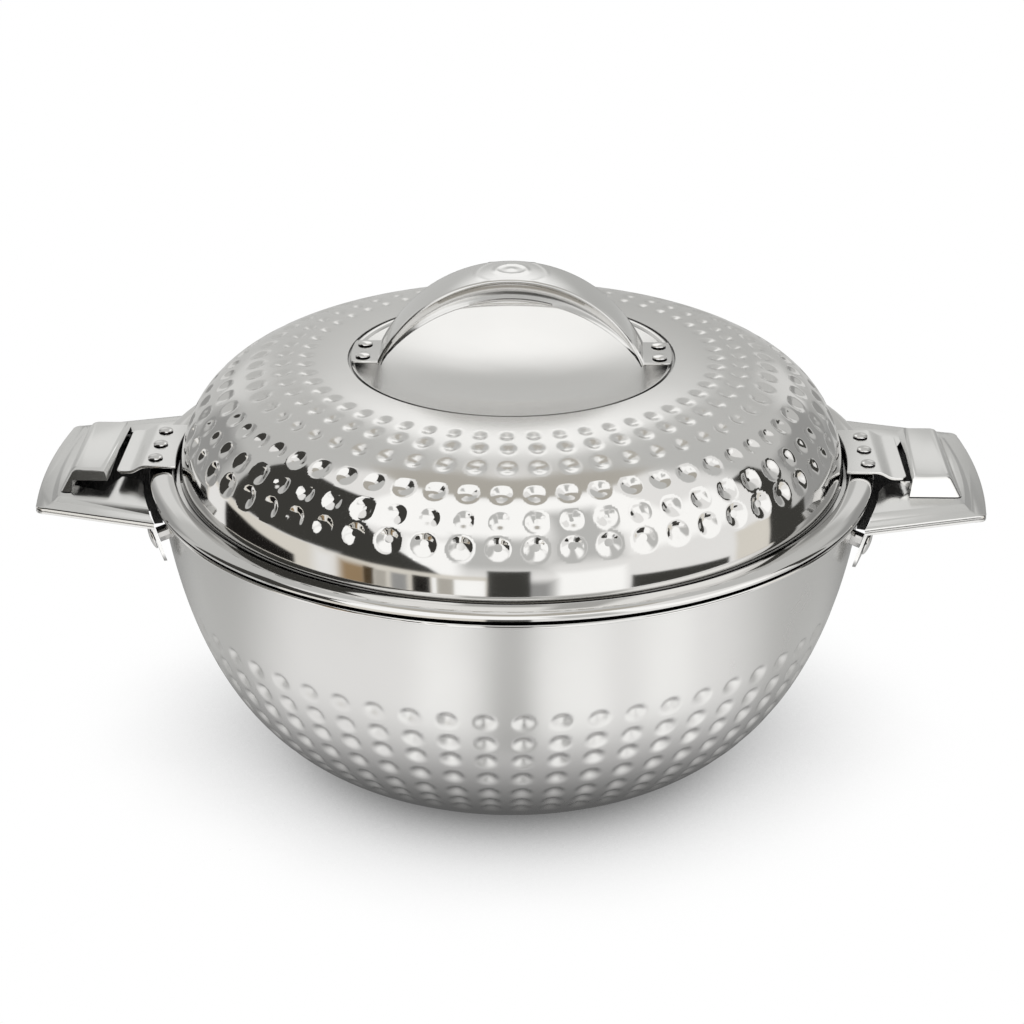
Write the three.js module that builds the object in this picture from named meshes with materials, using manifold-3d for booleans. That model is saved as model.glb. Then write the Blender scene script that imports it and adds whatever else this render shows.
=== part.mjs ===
// Insulated chapati casserole: a double-walled steel bowl with foam in its wall, and a
// loose double-walled lid. The lid has a tab on each side, which turns under a catch on
// each side handle. Millimetres, +Z up, origin at the middle of the base.
import * as THREE from 'three';
import { mergeVertices } from 'three/addons/utils/BufferGeometryUtils.js';
import Module from 'manifold-3d';

const wasm = await Module();
wasm.setup();

// Sheet metal and the gap between pieces that touch
const sheet = 1;
const seat = 0.3;

// The bowl
const rimRadius = 135.2;
const rimHeight = 110.9;
const rimOverhang = 3.2;
const shellTopRadius = rimRadius - rimOverhang;
const flangeWidth = 16.2;
const mouthRadius = rimRadius - flangeWidth;
const baseRadius = 60;
const baseLedge = 10;
const baseHoleRadius = baseRadius - baseLedge;
const basePlateLap = 4;
const innerFloorRadius = 46;
const innerFloorHeight = 12;

// The lid
const brimWidth = 11.1;
const domeFootRadius = rimRadius - brimWidth;
const domeRise = 42;
const domeTopHeight = rimHeight + domeRise;
const recessRadius = 58.6;
const recessEdgeRound = 1.5;
const ledgeDrop = 1.1;
const dishLip = 2.1;
const dishRadius = recessRadius - dishLip;
const dishDepth = 9;
const grooveWidth = 1.9;
const brimThickness = 3;
const brimFall = 0.9;
const brimEdgeRound = 1.7;
const sealWidth = 9;
const sealDepth = 2.8;
const sealGap = 0.6;
const mouthClearance = 1.4;
const panRadius = mouthRadius - mouthClearance - sealWidth - sealGap;
const panDepth = 6;
const panFlange = 4;

// The lid's tabs
const tabHalf = 20;
const tabOverhang = 10.8;
const tabReach = rimRadius + tabOverhang;
const tabStep = 2.3;
const tabStepStart = rimRadius + sheet + seat;
const tabStepRun = 4;
const tabThickness = 1.2;
const tabCorner = 1.2;

// The side handles and their legs
const handleLength = 40.3;
const handleReach = rimRadius + handleLength;
const handleInnerHalf = 52;
const handleOuterHalf = 39.5;
const handleDrop = 3.9;
const handleTop = rimHeight - handleDrop;
const handleEdgeDepth = 2.2;
const handleCorner = 7;
const handleBow = 3.2;
const rimGap = 2.3;
const panelRise = 1.5;
const panelMargin = 6.5;
const legHalf = 7;
const legMargin = 1;
const legDrop = 17.9;
const legLean = 5;

// The catches, and the window under each
const catchMargin = 3;
const catchHalf = tabHalf + catchMargin;
const catchGap = 0.3;
const catchInner = tabReach + catchGap;
const catchInset = 13.7;
const catchOuter = handleReach - catchInset;
const catchSpread = 4;
const catchRise = 7.2;
const catchTop = handleTop + panelRise + catchRise;
const catchEndDrop = 5.3;
const lipDrop = 1.5;
const lipTaper = 14;
const finReach = 2.8;
const finDrop = 5.5;
const finGap = 0.5;
const notchHalf = 14;
const notchRound = 5;
const windowStart = tabReach - sheet;
const windowEnd = catchOuter - seat;
const windowClosedHalf = catchHalf - sheet - finGap;
const windowSpread = 4;
const windowOpenHalf = catchHalf + windowSpread;

// The top handle
const earOverlap = 0.9;
const earReach = recessRadius + earOverlap;
const earLength = 10;
const archHalfSpan = earReach - earLength;
const archHeight = 33.4;
const linerInset = 8.6;
const linerRise = archHeight - linerInset;
const strapHalf = 11.25;
const strapThickness = 1.1;

// The rivets
const smallHead = 2.75;
const smallHeadHeight = 1.1;
const smallShank = 1.3;
const tabTail = 3.4;
const earTail = 5.6;
const legHead = 4.6;
const legHeadHeight = 1.5;
const legShank = 1.7;
const legTail = 3;
const spacerRadius = 2.8;
const rivetClearance = 0.3;
const earRivetSpacing = 12.4;
const earRivetReach = earReach - earLength / 2;
const tabRivetSpacing = 13;
const tabRivetInset = 2.9;
const tabRivetReach = rimRadius - tabRivetInset;
const overrun = 5;

// Numbers of steps round and along
const turns = 40;
const curveSteps = 8;
const innerSteps = 6;
const dishSteps = 5;
const shapeSteps = 4;
const rivetSides = 10;
const archSteps = 20;

// Shares that set how full the rounded profiles are
const bowlShares = { low: 0.261, highRun: 0.165, highRise: 0.164 };
const domeShares = { footLean: 0.045, footRise: 0.62, topRun: 0.71 };
const dishShares = { wall: 0.72, floor: 0.45, shoulder: 0.5 };
const headShares = { side: 0.92, sideRise: 0.55, crown: 0.5, crownRise: 0.92 };

const steel = { color: 0xc6c6c8, roughness: 0.32, metalness: 1 };
const polished = { color: 0xe2e0dd, roughness: 0.08, metalness: 1 };
const foam = { color: 0xe6dcb4, roughness: 0.95, metalness: 0 };
const silicone = { color: 0xd9d9d6, roughness: 0.7, metalness: 0 };
const blackPlastic = { color: 0x1c1c1c, roughness: 0.6, metalness: 0 };

const casserole = new THREE.Group();

function point(x, y) {
  return new THREE.Vector2(x, y);
}

// Adds one named piece to the object
function addPiece(name, geometry, finish, place) {
  const piece = new THREE.Mesh(geometry, new THREE.MeshStandardMaterial(finish));
  piece.name = name;
  (place ?? casserole).add(piece);
  return piece;
}

// Geometry with merged corners, ready for cutting and joining
function solidOf(geometry) {
  const bare = geometry.clone();
  bare.deleteAttribute('normal');
  bare.deleteAttribute('uv');
  const joined = mergeVertices(bare);
  const triVerts = joined.index
    ? new Uint32Array(joined.index.array)
    : Uint32Array.from({ length: joined.attributes.position.count }, (_, i) => i);
  const vertProperties = new Float32Array(joined.attributes.position.array);
  return new wasm.Manifold(new wasm.Mesh({ numProp: 3, vertProperties, triVerts }));
}

function geometryOf(solid) {
  const mesh = solid.getMesh();
  const geometry = new THREE.BufferGeometry();
  geometry.setAttribute('position', new THREE.BufferAttribute(mesh.vertProperties, 3));
  geometry.setIndex(new THREE.BufferAttribute(mesh.triVerts, 1));
  return geometry;
}

function cut(geometry, tools) {
  return geometryOf(tools.reduce((left, tool) => left.subtract(solidOf(tool)), solidOf(geometry)));
}

function join(geometries) {
  return geometryOf(geometries.map(solidOf).reduce((sum, next) => sum.add(next)));
}

// Points of a line moved sideways by a distance, to the left of its direction
function offset(points, distance) {
  return points.map((here, i) => {
    const before = points[Math.max(i - 1, 0)];
    const after = points[Math.min(i + 1, points.length - 1)];
    const along = after.clone().sub(before).normalize();
    return point(here.x - along.y * distance, here.y + along.x * distance);
  });
}

function bezier(start, startHandle, endHandle, end, steps) {
  return new THREE.CubicBezierCurve(start, startHandle, endHandle, end).getPoints(steps);
}

// A turned piece whose closed profile is given by its points
function turned(points) {
  const closed = [...points];
  if (points[0].x > 0 || points[points.length - 1].x > 0) {
    closed.push(points[0].clone());
  }
  const area = closed.reduce((sum, p, i) => {
    const next = closed[(i + 1) % closed.length];
    return sum + p.x * next.y - next.x * p.y;
  }, 0);
  if (area < 0) {
    closed.reverse();
  }
  const geometry = new THREE.LatheGeometry(closed, turns);
  geometry.rotateX(Math.PI / 2);
  return geometry;
}

// A flat plate with the given outline, from one height to another
function plate(shape, low, high) {
  const options = { depth: high - low, bevelEnabled: false, curveSegments: shapeSteps };
  const geometry = new THREE.ExtrudeGeometry(shape, options);
  geometry.translate(0, 0, low);
  return geometry;
}

// A profile in the X-Z plane, drawn out along Y between two places
function drawnAlongY(points, near, far) {
  const options = { depth: far - near, bevelEnabled: false };
  const geometry = new THREE.ExtrudeGeometry(new THREE.Shape(points), options);
  geometry.rotateX(Math.PI / 2);
  geometry.translate(0, far, 0);
  return geometry;
}

// The outer shell's curve, from the edge of the flat base up to the rim
function shellCurve() {
  const swell = shellTopRadius - baseRadius;
  const top = rimHeight - sheet - seat;
  return bezier(
    point(baseRadius, 0),
    point(baseRadius + swell * bowlShares.low, 0),
    point(shellTopRadius - swell * bowlShares.highRun, top * bowlShares.highRise),
    point(shellTopRadius, top),
    curveSteps,
  );
}

// The inner bowl's curve, from the edge of its flat floor up to its mouth
function innerCurve() {
  const swell = mouthRadius - innerFloorRadius;
  const top = rimHeight - sheet;
  const rise = top - innerFloorHeight;
  return bezier(
    point(innerFloorRadius, innerFloorHeight),
    point(innerFloorRadius + swell * bowlShares.low, innerFloorHeight),
    point(mouthRadius - swell * bowlShares.highRun, innerFloorHeight + rise * bowlShares.highRise),
    point(mouthRadius, top),
    innerSteps,
  );
}

// Radius of the outer shell's outside at a height
function shellRadiusAt(height) {
  const points = shellCurve();
  const i = points.findIndex((p) => p.y >= height);
  const share = (height - points[i - 1].y) / (points[i].y - points[i - 1].y);
  return points[i - 1].x + share * (points[i].x - points[i - 1].x);
}

function buildOuterShell() {
  const outside = shellCurve();
  const inside = offset(outside, sheet).reverse();
  return turned([
    point(baseHoleRadius, sheet),
    point(baseHoleRadius, 0),
    ...outside,
    ...inside,
  ]);
}

// A shallow plug that closes the shell's round hole from inside and rests flush with it
function buildBasePlate() {
  const radius = baseHoleRadius - seat;
  const lap = baseHoleRadius + basePlateLap;
  const lapLow = sheet + seat;
  return turned([
    point(0, 0),
    point(radius, 0),
    point(radius, lapLow),
    point(lap, lapLow),
    point(lap, lapLow + sheet),
    point(radius - sheet, lapLow + sheet),
    point(radius - sheet, sheet),
    point(0, sheet),
  ]);
}

function buildInnerBowl() {
  const inside = innerCurve();
  const outside = offset(inside, -sheet);
  const flange = rimRadius - sheet;
  return turned([
    point(0, innerFloorHeight - sheet),
    ...outside.slice(0, -1),
    point(mouthRadius + sheet, rimHeight - sheet),
    point(flange, rimHeight - sheet),
    point(flange, rimHeight),
    point(mouthRadius - seat, rimHeight),
    ...inside.slice(0, -1).reverse(),
    point(0, innerFloorHeight),
  ]);
}

function buildBowlFoam(pockets) {
  const outside = offset(shellCurve(), sheet + seat).slice(2, -1);
  const inside = offset(innerCurve(), -sheet - seat).slice(0, -1);
  const floor = (sheet + seat) * 2;
  const top = rimHeight - sheet - seat * 2;
  const body = turned([
    point(0, floor),
    ...outside,
    point(shellTopRadius - sheet - seat, top),
    point(mouthRadius + sheet + seat, top),
    ...inside.reverse(),
    point(0, innerFloorHeight - sheet - seat),
  ]);
  return cut(body, pockets);
}

// The thin rolled bead that the outer shell ends in, under the flange
function buildRimBead() {
  const inner = shellTopRadius + seat;
  const outer = rimRadius - sheet / 2;
  const high = rimHeight - sheet - seat;
  const low = high - sheet - seat;
  const bevel = sheet / 2;
  return turned([
    point(inner, low),
    point(outer - bevel, low),
    point(outer, low + bevel),
    point(outer, high - bevel),
    point(outer - bevel, high),
    point(inner, high),
  ]);
}

const lidLow = rimHeight + seat;
const flangeTop = lidLow + sheet;
const domeFoot = flangeTop + seat;
const brimCrest = lidLow + brimThickness;
const ledgeHeight = domeTopHeight - ledgeDrop;

// The dome's curve, from its foot to the edge of the sunk dish
function domeCurve() {
  const top = recessRadius + recessEdgeRound;
  const width = domeFootRadius - top;
  const rise = domeTopHeight - domeFoot;
  return bezier(
    point(domeFootRadius, domeFoot),
    point(domeFootRadius - width * domeShares.footLean, domeFoot + rise * domeShares.footRise),
    point(top + width * domeShares.topRun, domeTopHeight),
    point(top, domeTopHeight),
    curveSteps,
  );
}

function dishCurve() {
  return bezier(
    point(dishRadius, ledgeHeight),
    point(dishRadius * dishShares.wall, ledgeHeight - dishDepth * dishShares.shoulder),
    point(dishRadius * dishShares.floor, ledgeHeight - dishDepth),
    point(0, ledgeHeight - dishDepth),
    dishSteps,
  );
}

// The lid's outside, from the dome's foot to the middle of the dish
function lidOutside() {
  return [...domeCurve(), point(recessRadius, ledgeHeight), ...dishCurve()];
}

function buildLidDome(holes) {
  const outside = lidOutside();
  const inside = offset(outside, sheet);
  inside[inside.length - 1].x = 0;
  inside[0] = point(domeFootRadius - sheet, domeFoot);
  return cut(turned([...outside, ...inside.reverse()]), holes);
}

function buildLidFoam(pockets) {
  const outside = offset(lidOutside(), sheet + seat).slice(1);
  outside[outside.length - 1].x = 0;
  const floor = lidLow - panDepth + sheet + seat;
  return cut(turned([
    point(0, floor),
    point(panRadius - sheet - seat, floor),
    point(panRadius - sheet - seat, domeFoot),
    point(domeFootRadius - sheet - seat, domeFoot),
    ...outside,
  ]), pockets);
}

// The wide rounded brim with the flange that the dome stands on
function buildLidBrim(holes) {
  const inner = panRadius + panFlange + seat;
  const rise = domeFootRadius + grooveWidth;
  const edge = rimRadius;
  const shoulder = edge - brimEdgeRound * 2;
  return cut(turned([
    point(inner, flangeTop),
    point(rise, flangeTop),
    point(rise, brimCrest - sheet),
    point(rise + sheet, brimCrest),
    point(shoulder, brimCrest - brimFall / 2),
    point(edge - sheet / 2, brimCrest - brimFall * 2),
    point(edge, lidLow + sheet / 2),
    point(edge, lidLow),
    point(edge - sheet, lidLow),
    point(shoulder, brimCrest - brimFall / 2 - sheet),
    point(rise + sheet, brimCrest - sheet),
    point(rise + sheet, lidLow),
    point(inner, lidLow),
  ]), holes);
}

function buildLidPan() {
  const low = lidLow - panDepth;
  return turned([
    point(0, low),
    point(panRadius - sheet, low),
    point(panRadius, low + sheet),
    point(panRadius, lidLow),
    point(panRadius + panFlange, lidLow),
    point(panRadius + panFlange, flangeTop),
    point(panRadius - sheet, flangeTop),
    point(panRadius - sheet, low + sheet),
    point(0, low + sheet),
  ]);
}

// The ring stays free of the pan all round, so that the lid can turn on it
function buildSealRing() {
  const inner = panRadius + sealGap;
  const outer = inner + sealWidth;
  const high = lidLow - seat;
  const low = high - sealDepth;
  return turned([
    point(inner, low),
    point(outer - sealDepth / 2, low),
    point(outer, low + sealDepth / 2),
    point(outer, high),
    point(inner, high),
  ]);
}

// A round-headed rivet with its shank. Its head's foot is at zero, and its tail is below.
function rivetGeometry(head, headHeight, shank, tail, grow) {
  const profile = [
    point(0, -tail - grow),
    point(shank + grow, -tail - grow),
    point(shank + grow, -grow),
    point(head + grow, -grow),
    point(head * headShares.side + grow, headHeight * headShares.sideRise + grow),
    point(head * headShares.crown + grow, headHeight * headShares.crownRise + grow),
    point(0, headHeight + grow),
  ];
  const geometry = new THREE.LatheGeometry(profile, rivetSides);
  geometry.rotateX(Math.PI / 2);
  return geometry;
}

// The round hole that a rivet's shank needs, through whatever it holds
function shankHole(shank, reach) {
  const radius = shank + rivetClearance;
  const geometry = new THREE.CylinderGeometry(radius, radius, reach * 2, rivetSides);
  geometry.rotateX(Math.PI / 2);
  return geometry;
}

const earLow = domeTopHeight + seat;
const earTop = earLow + strapThickness;
const tabInnerLow = brimCrest + seat;
const tabInnerTop = tabInnerLow + tabThickness;
const tabOuterTop = tabInnerTop - tabStep;

// Places of the small rivets: two in each ear of the top handle, three in each tab
function earRivetPlaces() {
  const places = [];
  for (const side of [-1, 1]) {
    for (const row of [-0.5, 0.5]) {
      places.push(new THREE.Vector3(side * earRivetReach, row * earRivetSpacing, earTop + seat));
    }
  }
  return places;
}

function tabRivetPlaces(side) {
  return [-1, 0, 1].map((row) => (
    new THREE.Vector3(side * tabRivetReach, row * tabRivetSpacing, tabInnerTop + seat)
  ));
}

function holesAt(places) {
  const reach = earTail + overrun;
  return places.map((place) => shankHole(smallShank, reach).translate(place.x, place.y, place.z));
}

// The places of the four leg rivets, each with the turn that points its axis outwards
const legTilt = Math.atan2(legLean, legDrop);
const legAzimuth = Math.asin((handleInnerHalf - legHalf - legMargin) / (rimRadius + rimGap));
const plateThickness = sheet + seat / 2;
const legRadius = rimRadius + rimGap + plateThickness;

function legPlace(azimuth) {
  const carrier = new THREE.Group();
  carrier.rotation.z = azimuth;
  const tilted = new THREE.Group();
  tilted.position.set(legRadius - legLean / 2, 0, handleTop - legDrop / 2);
  tilted.rotation.y = Math.PI / 2 + legTilt;
  carrier.add(tilted);
  carrier.updateMatrixWorld(true);
  return { carrier, tilted };
}

const legAzimuths = [
  ['right_front', -legAzimuth],
  ['right_rear', legAzimuth],
  ['left_front', Math.PI + legAzimuth],
  ['left_rear', Math.PI - legAzimuth],
];

// The gap between the leg and the shell, along the rivet's axis
function spacerLength() {
  const height = handleTop - legDrop / 2;
  const radial = legRadius - legLean / 2 - plateThickness - shellRadiusAt(height);
  return radial * Math.cos(legTilt) - seat * 2;
}

function legRivetGeometry(grow) {
  const length = plateThickness + spacerLength() + seat * 2 + legTail;
  return rivetGeometry(legHead, legHeadHeight, legShank, length, grow);
}

function legHole(azimuth) {
  const { tilted } = legPlace(azimuth);
  return shankHole(legShank, legDrop / 2).applyMatrix4(tilted.matrixWorld);
}

function legPocket(azimuth) {
  const { tilted } = legPlace(azimuth);
  return legRivetGeometry(rivetClearance).translate(0, 0, seat).applyMatrix4(tilted.matrixWorld);
}

// Draws the three free sides of the right handle, seen from above and drawn in by a margin.
// They begin and end on a circle about the rim's axis, at plus and minus the angle that it returns.
function drawFreeSides(shape, inner, margin) {
  const near = handleInnerHalf - margin;
  const far = handleOuterHalf - margin;
  const reach = handleReach - margin;
  const side = reach - handleBow;
  const start = Math.asin(near / inner);
  shape.moveTo(inner * Math.cos(start), -near);
  shape.lineTo(side - handleCorner, -far);
  shape.quadraticCurveTo(side, -far, side, -far + handleCorner);
  shape.quadraticCurveTo(reach + handleBow, 0, side, far - handleCorner);
  shape.quadraticCurveTo(side, far, side - handleCorner, far);
  shape.lineTo(inner * Math.cos(start), near);
  return start;
}

// The handle's outline. Its inner side follows the rim and opens into the window under the catch.
function handleShape(margin) {
  const inner = rimRadius + rimGap;
  const notchAngle = Math.asin((notchHalf + notchRound) / inner);
  const shape = new THREE.Shape();
  const start = drawFreeSides(shape, inner, margin);
  shape.absarc(0, 0, inner, start, notchAngle, true);
  shape.quadraticCurveTo(inner, notchHalf, inner + notchRound, notchHalf);
  shape.lineTo(windowStart, notchHalf);
  shape.lineTo(windowStart + notchRound, windowOpenHalf);
  shape.lineTo(windowEnd, windowOpenHalf - notchRound);
  shape.lineTo(windowEnd, -windowClosedHalf);
  shape.lineTo(windowStart + notchRound, -windowClosedHalf);
  shape.lineTo(windowStart, -notchHalf);
  shape.lineTo(inner + notchRound, -notchHalf);
  shape.quadraticCurveTo(
    inner,
    -notchHalf,
    inner * Math.cos(notchAngle),
    -inner * Math.sin(notchAngle),
  );
  shape.absarc(0, 0, inner, -notchAngle, -start, true);
  return shape;
}

function legSlab(azimuth) {
  const slab = drawnAlongY([
    point(legRadius - plateThickness, handleTop - sheet / 2),
    point(legRadius - plateThickness - legLean, handleTop - legDrop),
    point(legRadius - legLean, handleTop - legDrop),
    point(legRadius, handleTop - sheet / 2),
  ], -legHalf, legHalf);
  return slab.rotateZ(azimuth);
}

// A side handle: a plate with a turned-down edge, a raised panel and two legs
function buildHandle() {
  const low = handleTop - plateThickness;
  const top = plate(handleShape(0), low, handleTop);
  const panel = plate(handleShape(panelMargin), low, handleTop + panelRise);
  const skirt = plate(handleShape(0), low - handleEdgeDepth, handleTop);
  const core = plate(handleShape(plateThickness), low - handleEdgeDepth - overrun, low);
  const legs = [legSlab(-legAzimuth), legSlab(legAzimuth)];
  return cut(
    join([cut(skirt, [core]), top, panel, ...legs]),
    [legHole(-legAzimuth), legHole(legAzimuth)],
  );
}

// The plastic liner that closes a side handle from below, inside its turned-down edge.
// Towards the bowl it stops short of the legs.
function buildHandleLiner() {
  const inner = rimRadius + rimGap;
  const shape = new THREE.Shape();
  const start = drawFreeSides(shape, inner, plateThickness + seat);
  shape.absarc(0, 0, inner, start, -start, true);
  const under = handleTop - plateThickness;
  const clear = legRadius + rimGap;
  const bowlSide = new THREE.CylinderGeometry(clear, clear, handleTop * 2, turns);
  bowlSide.rotateX(Math.PI / 2);
  return cut(plate(shape, under - handleEdgeDepth, under - seat), [bowlSide]);
}

// A block whose foot spreads past its top on its outer side and at its closed end
function spreadBlock(inner, outer, closedEnd, openEnd, low, high) {
  const shift = catchSpread * (high - low) / (catchTop - handleTop - panelRise);
  const geometry = new THREE.BoxGeometry(outer - inner, openEnd - closedEnd, high - low);
  const corners = geometry.attributes.position;
  for (let i = 0; i < corners.count; i += 1) {
    const isFoot = corners.getZ(i) < 0;
    corners.setX(i, corners.getX(i) + (isFoot && corners.getX(i) > 0 ? shift : 0));
    corners.setY(i, corners.getY(i) - (isFoot && corners.getY(i) < 0 ? shift : 0));
  }
  return geometry.translate((inner + outer) / 2, (closedEnd + openEnd) / 2, (low + high) / 2);
}

// A catch: a hollow bridge with a lip over the edge of the lid's tab. One end is closed.
// The other is turned down a little way and open below, so that the tab can swing out.
function buildCatch() {
  const foot = handleTop + panelRise + seat;
  const roof = catchTop - sheet;
  const inside = catchHalf - sheet;
  const block = spreadBlock(catchInner, catchOuter, -catchHalf, catchHalf, foot, catchTop);
  const core = spreadBlock(catchInner - overrun, catchOuter - sheet, -inside, inside, foot - overrun, roof);
  const width = catchOuter - catchInner;
  const gapHeight = roof - foot;
  const endGap = new THREE.BoxGeometry(width + overrun, overrun, gapHeight);
  endGap.translate(
    catchOuter - (width + overrun) / 2,
    catchHalf,
    catchTop - catchEndDrop - gapHeight / 2,
  );
  const lip = new THREE.ExtrudeGeometry(new THREE.Shape([
    point(-catchHalf, catchTop),
    point(-catchHalf, catchTop - lipDrop),
    point(catchHalf - lipTaper, catchTop - lipDrop),
    point(catchHalf, catchTop - catchEndDrop),
    point(catchHalf, catchTop),
  ]), { depth: sheet, bevelEnabled: false });
  lip.applyMatrix4(new THREE.Matrix4().makeBasis(
    new THREE.Vector3(0, 1, 0),
    new THREE.Vector3(0, 0, 1),
    new THREE.Vector3(1, 0, 0),
  ));
  lip.translate(catchInner, 0, 0);
  const finEnd = -tabHalf - finGap;
  const fin = drawnAlongY([
    point(catchInner - finReach, catchTop - lipDrop),
    point(catchInner - finReach, catchTop - finDrop),
    point(catchInner + sheet, catchTop - finDrop),
    point(catchInner + sheet, catchTop - sheet / 2),
    point(catchInner, catchTop - sheet / 2),
  ], finEnd - sheet, finEnd);
  return join([cut(block, [core, endGap]), lip, fin]);
}

// A lid tab seen from above, with its inner edge along the dome and rounded outer corners
function tabShape() {
  const inner = domeFootRadius + grooveWidth - sheet / 2;
  const angle = Math.asin(tabHalf / inner);
  const shape = new THREE.Shape();
  shape.moveTo(inner * Math.cos(angle), -tabHalf);
  shape.lineTo(tabReach - tabCorner, -tabHalf);
  shape.quadraticCurveTo(tabReach, -tabHalf, tabReach, -tabHalf + tabCorner);
  shape.lineTo(tabReach, tabHalf - tabCorner);
  shape.quadraticCurveTo(tabReach, tabHalf, tabReach - tabCorner, tabHalf);
  shape.lineTo(inner * Math.cos(angle), tabHalf);
  shape.absarc(0, 0, inner, angle, -angle, true);
  return shape;
}

function buildTab() {
  const inner = domeFootRadius - overrun;
  const end = tabReach + overrun;
  const stepEnd = tabStepStart + tabStepRun;
  const strip = drawnAlongY([
    point(inner, tabInnerTop),
    point(tabStepStart, tabInnerTop),
    point(stepEnd, tabOuterTop),
    point(end, tabOuterTop),
    point(end, tabOuterTop - tabThickness),
    point(stepEnd, tabOuterTop - tabThickness),
    point(tabStepStart, tabInnerLow),
    point(inner, tabInnerLow),
  ], -tabHalf - overrun, tabHalf + overrun);
  const outline = plate(tabShape(), tabOuterTop - overrun, tabInnerTop + overrun);
  const trimmed = geometryOf(solidOf(strip).intersect(solidOf(outline)));
  return cut(trimmed, holesAt(tabRivetPlaces(1)));
}

// Half a round arch through both feet and the top, as points from the left foot to the right
function archPoints(halfSpan, rise, foot) {
  const radius = (halfSpan * halfSpan + rise * rise) / (2 * rise);
  const spread = Math.asin(halfSpan / radius);
  const centre = foot + rise - radius;
  const points = [];
  for (let i = 0; i <= archSteps; i += 1) {
    const angle = -spread + (2 * spread * i) / archSteps;
    points.push(point(radius * Math.sin(angle), centre + radius * Math.cos(angle)));
  }
  return points;
}

// The strap of the top handle: arch, two side walls that taper to its feet, and two ears
function buildStrap() {
  const outer = archPoints(archHalfSpan, archHeight, earLow);
  const inner = archPoints(archHalfSpan - strapThickness, archHeight - strapThickness, earLow);
  const lower = archPoints(archHalfSpan - strapThickness, linerRise, earLow);
  const band = drawnAlongY([...outer, ...inner.reverse()], -strapHalf, strapHalf);
  const side = [...outer, ...lower.reverse()];
  const front = drawnAlongY(side, -strapHalf, -strapHalf + strapThickness);
  const back = drawnAlongY(side, strapHalf - strapThickness, strapHalf);
  const ears = [-1, 1].map((hand) => {
    const near = hand * (archHalfSpan - strapThickness);
    const far = hand * earReach;
    const outline = new THREE.Shape();
    outline.moveTo(near, -strapHalf);
    outline.lineTo(far - hand * sheet, -strapHalf);
    outline.quadraticCurveTo(far + hand * sheet, 0, far - hand * sheet, strapHalf);
    outline.lineTo(near, strapHalf);
    return plate(outline, earLow, earTop);
  });
  return cut(join([band, front, back, ...ears]), holesAt(earRivetPlaces()));
}

// The liner that closes the strap from below, between its side walls
function buildStrapLiner() {
  const gap = strapThickness + seat;
  const upper = archPoints(archHalfSpan - gap * 2, linerRise + strapThickness - seat, earTop);
  const lower = archPoints(archHalfSpan - gap * 2, linerRise - seat, earTop);
  return drawnAlongY([...upper, ...lower.reverse()], -strapHalf + gap, strapHalf - gap);
}

function spacerGeometry() {
  const length = spacerLength();
  const bore = legShank + rivetClearance;
  const profile = [
    point(bore, 0),
    point(spacerRadius, 0),
    point(spacerRadius, length),
    point(bore, length),
    point(bore, 0),
  ];
  const geometry = new THREE.LatheGeometry(profile, rivetSides);
  geometry.rotateX(Math.PI / 2);
  return geometry;
}

function addBowl() {
  const legHoles = legAzimuths.map(([, azimuth]) => legHole(azimuth));
  const pockets = legAzimuths.map(([, azimuth]) => legPocket(azimuth));
  addPiece('outer_bowl_shell', cut(buildOuterShell(), legHoles), steel);
  addPiece('base_plate', buildBasePlate(), steel);
  addPiece('inner_bowl', buildInnerBowl(), steel);
  addPiece('bowl_insulation', buildBowlFoam(pockets), foam);
  addPiece('bowl_rim_bead', buildRimBead(), polished);
}

function addSideHandles() {
  addPiece('handle_right', buildHandle(), steel);
  addPiece('handle_left', buildHandle().rotateZ(Math.PI), steel);
  addPiece('handle_liner_right', buildHandleLiner(), blackPlastic);
  addPiece('handle_liner_left', buildHandleLiner().rotateZ(Math.PI), blackPlastic);
  addPiece('catch_right', buildCatch(), steel);
  addPiece('catch_left', buildCatch().rotateZ(Math.PI), steel);
  for (const [name, azimuth] of legAzimuths) {
    const { carrier, tilted } = legPlace(azimuth);
    casserole.add(carrier);
    const rivet = addPiece(`leg_rivet_${name}`, legRivetGeometry(0), polished, tilted);
    rivet.position.z = seat;
    const spacer = addPiece(`leg_spacer_${name}`, spacerGeometry(), polished, tilted);
    spacer.position.z = -plateThickness - spacerLength() - seat;
  }
}

function addLid() {
  const earHoles = holesAt(earRivetPlaces());
  const brimHoles = [...holesAt(tabRivetPlaces(1)), ...holesAt(tabRivetPlaces(-1))];
  addPiece('lid_dome', buildLidDome(earHoles), steel);
  addPiece('lid_insulation', buildLidFoam(earHoles), foam);
  addPiece('lid_brim_ring', buildLidBrim(brimHoles), polished);
  addPiece('lid_inner_shell', buildLidPan(), steel);
  addPiece('lid_seal_ring', buildSealRing(), silicone);
  addPiece('lid_tab_right', buildTab(), steel);
  addPiece('lid_tab_left', buildTab().rotateZ(Math.PI), steel);
}

function addTopHandle() {
  addPiece('top_handle_strap', buildStrap(), steel);
  addPiece('top_handle_liner', buildStrapLiner(), polished);
}

function smallRivet(tail) {
  return rivetGeometry(smallHead, smallHeadHeight, smallShank, tail, 0);
}

function addSmallRivets() {
  earRivetPlaces().forEach((place, i) => {
    addPiece(`handle_rivet_${i + 1}`, smallRivet(earTail), polished).position.copy(place);
  });
  for (const [hand, side] of [['left', -1], ['right', 1]]) {
    tabRivetPlaces(side).forEach((place, i) => {
      addPiece(`tab_rivet_${hand}_${i + 1}`, smallRivet(tabTail), polished).position.copy(place);
    });
  }
}

addBowl();
addSideHandles();
addLid();
addTopHandle();
addSmallRivets();

export default casserole;
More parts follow.
